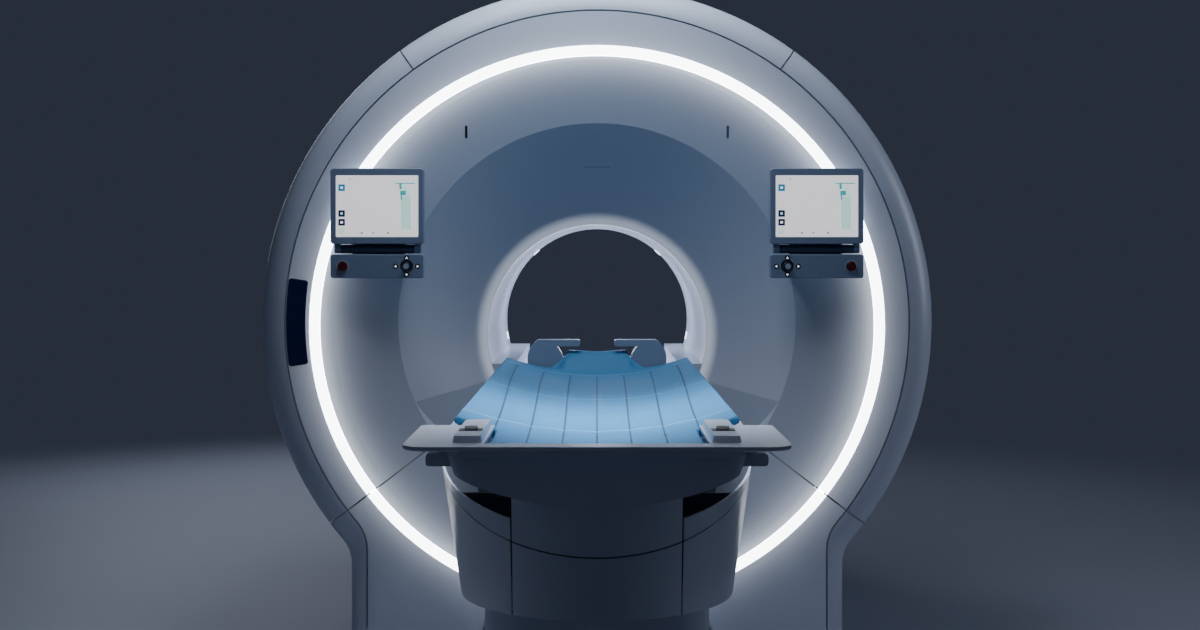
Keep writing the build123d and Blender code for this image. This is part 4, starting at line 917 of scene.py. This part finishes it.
# The microphone slot and the two sensor slots: slatted gauze plates just under the cover's surface
slots = {
    "depth": 0.004,
    "thick": 0.0015,
    # name, centre x, centre z, half width, half height, slats, finish
    "places": (
        ("sensorSlot_left", -0.400, 1.598, 0.0038, 0.0195, 6, "blackAbs"),
        # the gauze's grey is painted shade, the tone of the covers in shade
        ("sensorSlot_right", 0.400, 1.598, 0.0038, 0.0195, 6, "gauzeInPaintedShade"),
        ("microphoneSlot", 0.0, 1.496, 0.0405, 0.0018, 24, "gauzeInPaintedShade"),
    ),
    # a ray this far beside the slot, from ahead of the face, finds the cover's surface
    "beside": 0.008,
    "rayFrom": -1.2,
    "cornerShare": 0.9,
    # slats: width, depth, how far they stand proud, and their shares of the slot's length and width
    "bar": 0.0009,
    "barDepth": 0.001,
    "barProud": 0.0004,
    "rowShare": 0.92,
    "barShare": 1.7,
}


def slatTree(finish):
    tree = bpy.data.node_groups.new("slotSlats", "GeometryNodeTree")
    sockets = {}
    for label, kind in (("Base", "NodeSocketGeometry"), ("Slats", "NodeSocketInt"),
                        ("First", "NodeSocketVector"), ("Step", "NodeSocketVector"),
                        ("Bar", "NodeSocketVector")):
        sockets[label] = tree.interface.new_socket(label, in_out="INPUT", socket_type=kind)
    tree.interface.new_socket("Grille", in_out="OUTPUT", socket_type="NodeSocketGeometry")
    entry = addNode(tree, "NodeGroupInput")
    row = addNode(tree, "GeometryNodeMeshLine", {
        "Count": entry.outputs["Slats"],
        "Start Location": entry.outputs["First"],
        "Offset": entry.outputs["Step"],
    }, mode="OFFSET")
    bar = addNode(tree, "GeometryNodeMeshCube", {"Size": entry.outputs["Bar"]})
    bars = addNode(tree, "GeometryNodeInstanceOnPoints", {
        "Points": row.outputs["Mesh"], "Instance": bar.outputs["Mesh"]})
    both = addNode(tree, "GeometryNodeJoinGeometry")
    tree.links.new(entry.outputs["Base"], both.inputs[0])
    tree.links.new(bars.outputs["Instances"], both.inputs[0])
    real = addNode(tree, "GeometryNodeRealizeInstances", {"Geometry": both.outputs[0]})
    coat = addNode(tree, "GeometryNodeSetMaterial", {"Geometry": real.outputs[0], "Material": finish})
    addNode(tree, "NodeGroupOutput", {0: coat.outputs[0]})
    return tree, sockets


def makeSlots():
    t = slots
    cover = coverTree("front_cover_upper")
    for name, x, z, halfWide, halfTall, count, finish in t["places"]:
        tree, sockets = slatTree(finishes[finish])
        upright = halfTall > halfWide
        if upright:
            beside = ((x - halfWide - t["beside"], z), (x + halfWide + t["beside"], z))
        else:
            beside = ((x, z - halfTall - t["beside"]), (x, z + halfTall + t["beside"]))
        hits = [cover.ray_cast(Vector((px, t["rayFrom"], pz)), Vector((0, 1, 0)))[0] for px, pz in beside]
        depth = sum(h.y for h in hits if h is not None) / 2 + t["depth"]

        def build(shape):
            roundedPlate(shape, x - halfWide, x + halfWide, z - halfTall, z + halfTall,
                         depth, depth + t["thick"], min(halfWide, halfTall) * t["cornerShare"])

        source = bpy.data.objects.new(name, meshFrom(build, smooth=False))
        bpy.context.scene.collection.objects.link(source)
        step = 2 * max(halfWide, halfTall) * t["rowShare"] / (count - 1)
        if upright:
            along = Vector((0, 0, step))
            bar = (halfWide * t["barShare"], t["barDepth"], t["bar"])
        else:
            along = Vector((step, 0, 0))
            bar = (t["bar"], t["barDepth"], halfTall * t["barShare"])
        mesh = grownMesh(source, tree, (
            (sockets["Slats"], count),
            (sockets["First"], Vector((x, depth - t["barProud"], z)) - along * (count - 1) / 2),
            (sockets["Step"], along),
            (sockets["Bar"], bar),
        ))
        newPiece(name, mesh, finishes[finish], "magnet")
    print("slots filled:", len(t["places"]))


makeSlots()

# Small trims: rings round the stop buttons, plates under the arrows and latches, pale tops on the
# joysticks, and a skirt under the front edge of the foot plate
trims = {
    "sides": 40,
    "displayX": 0.662,
    "panelZ": 1.188,
    "panelFront": -0.905,
    "stopX": 0.103,
    "stopRing": (0.0158, 0.0190, 0.0006),
    "stickX": 0.089,
    "arrows": ((0.033, 0.0), (-0.033, 0.0), (0.0, 0.025), (0.0, -0.025)),
    "arrowPlate": (0.0, 0.0080, 0.0003),
    "knobFront": -0.923,
    "knobTop": (0.0, 0.0085, 0.0004),
    "latch": (0.226, -2.93, 0.912),
    # half width, half length and thickness of the plate, then of its hole
    "latchPlate": (0.021, 0.019, 0.001),
    "latchHole": (0.0125, 0.0155),
    "latchLift": 0.0001,
    "skirtHalf": 0.256,
    "skirtFront": -3.086,
    "skirtHeights": (0.8814, 0.8925),
    "skirtThick": 0.003,
    # how far the skirt's ends run back, and the cut across its corners
    "skirtEnds": 0.05,
    "skirtCorner": 0.02,
}


def washer(shape, x, z, front, sizes):
    # a flat disc or ring that stands on a surface facing the viewer
    inner, outer, thick = sizes
    loops = []
    turns = [2 * math.pi * i / trims["sides"] for i in range(trims["sides"])]
    for radius, y in ((outer, front), (outer, front - thick), (inner, front - thick), (inner, front)):
        if radius:
            ring = [(x + radius * math.cos(turn), y, z + radius * math.sin(turn)) for turn in turns]
            loops.append([shape.verts.new(point) for point in ring])
    if inner:
        loops.append(loops[0])
    else:
        shape.faces.new(loops[0])
        shape.faces.new(list(reversed(loops[1])))
    for first, second in zip(loops, loops[1:]):
        for i in range(len(first)):
            j = (i + 1) % len(first)
            shape.faces.new((first[i], first[j], second[j], second[i]))


def latchFrame(shape, x):
    # a thin plate with a rectangular hole for the latch
    t = trims
    y, z = t["latch"][1:]
    halfX, halfY, thick = t["latchPlate"]
    loops = []
    for wide, long, height in ((halfX, halfY, 0.0), (halfX, halfY, thick), (*t["latchHole"], thick),
                               (*t["latchHole"], 0.0)):
        corners = ((-wide, -long), (wide, -long), (wide, long), (-wide, long))
        loops.append([shape.verts.new((x + dx, y + dy, z + t["latchLift"] + height)) for dx, dy in corners])
    for first, second in zip(loops, loops[1:] + loops[:1]):
        for i in range(4):
            j = (i + 1) % 4
            shape.faces.new((first[i], first[j], second[j], second[i]))


def skirtForm(shape):
    # a thin upright strip whose ends turn back
    t = trims
    half, front, thick, corner = t["skirtHalf"], t["skirtFront"], t["skirtThick"], t["skirtCorner"]
    back = front + t["skirtEnds"]
    outer = [(-half, back), (-half, front + corner), (-half + corner, front),
             (half - corner, front), (half, front + corner), (half, back)]
    within = half - thick
    inner = [(-within, back), (-within, front + corner), (-half + corner, front + thick),
             (half - corner, front + thick), (within, front + corner), (within, back)]
    loop = outer + list(reversed(inner))
    bottom, top = ([shape.verts.new((x, y, z)) for x, y in loop] for z in t["skirtHeights"])
    for i in range(len(loop)):
        j = (i + 1) % len(loop)
        shape.faces.new((bottom[i], bottom[j], top[j], top[i]))
    for ring in (bottom, top):
        for i in range(len(outer) - 1):
            shape.faces.new((ring[i], ring[i + 1], ring[-i - 2], ring[-i - 1]))


def makeTrims():
    t = trims
    newPiece("plateSkirt", meshFrom(skirtForm, smooth=False), finishes["satinCoverEnamel"],
             "patient_board")
    for side, sign in (("left", -1), ("right", 1)):
        centre = sign * t["displayX"]
        stick = centre - sign * t["stickX"]

        def plates(shape):
            for dx, dz in t["arrows"]:
                washer(shape, stick + dx, t["panelZ"] + dz, t["panelFront"], t["arrowPlate"])

        newPiece("arrowPlates_" + side, meshFrom(plates, smooth=False), finishes["blackAbs"],
                 "magnet")
        ring = meshFrom(lambda shape: washer(
            shape, centre + sign * t["stopX"], t["panelZ"], t["panelFront"], t["stopRing"]), smooth=False)
        newPiece("stopRing_" + side, ring, finishes["paleAbs"], "magnet")
        top = meshFrom(lambda shape: washer(
            shape, stick, t["panelZ"], t["knobFront"], t["knobTop"]), smooth=False)
        newPiece("knobTop_" + side, top, finishes["paleAbs"], "joystick_knob_" + side)
        frameMesh = meshFrom(lambda shape: latchFrame(shape, sign * t["latch"][0]), smooth=False)
        newPiece("latchPlate_" + side, frameMesh, finishes["blackAbs"], "patient_board")
    print("small trims made")


makeTrims()
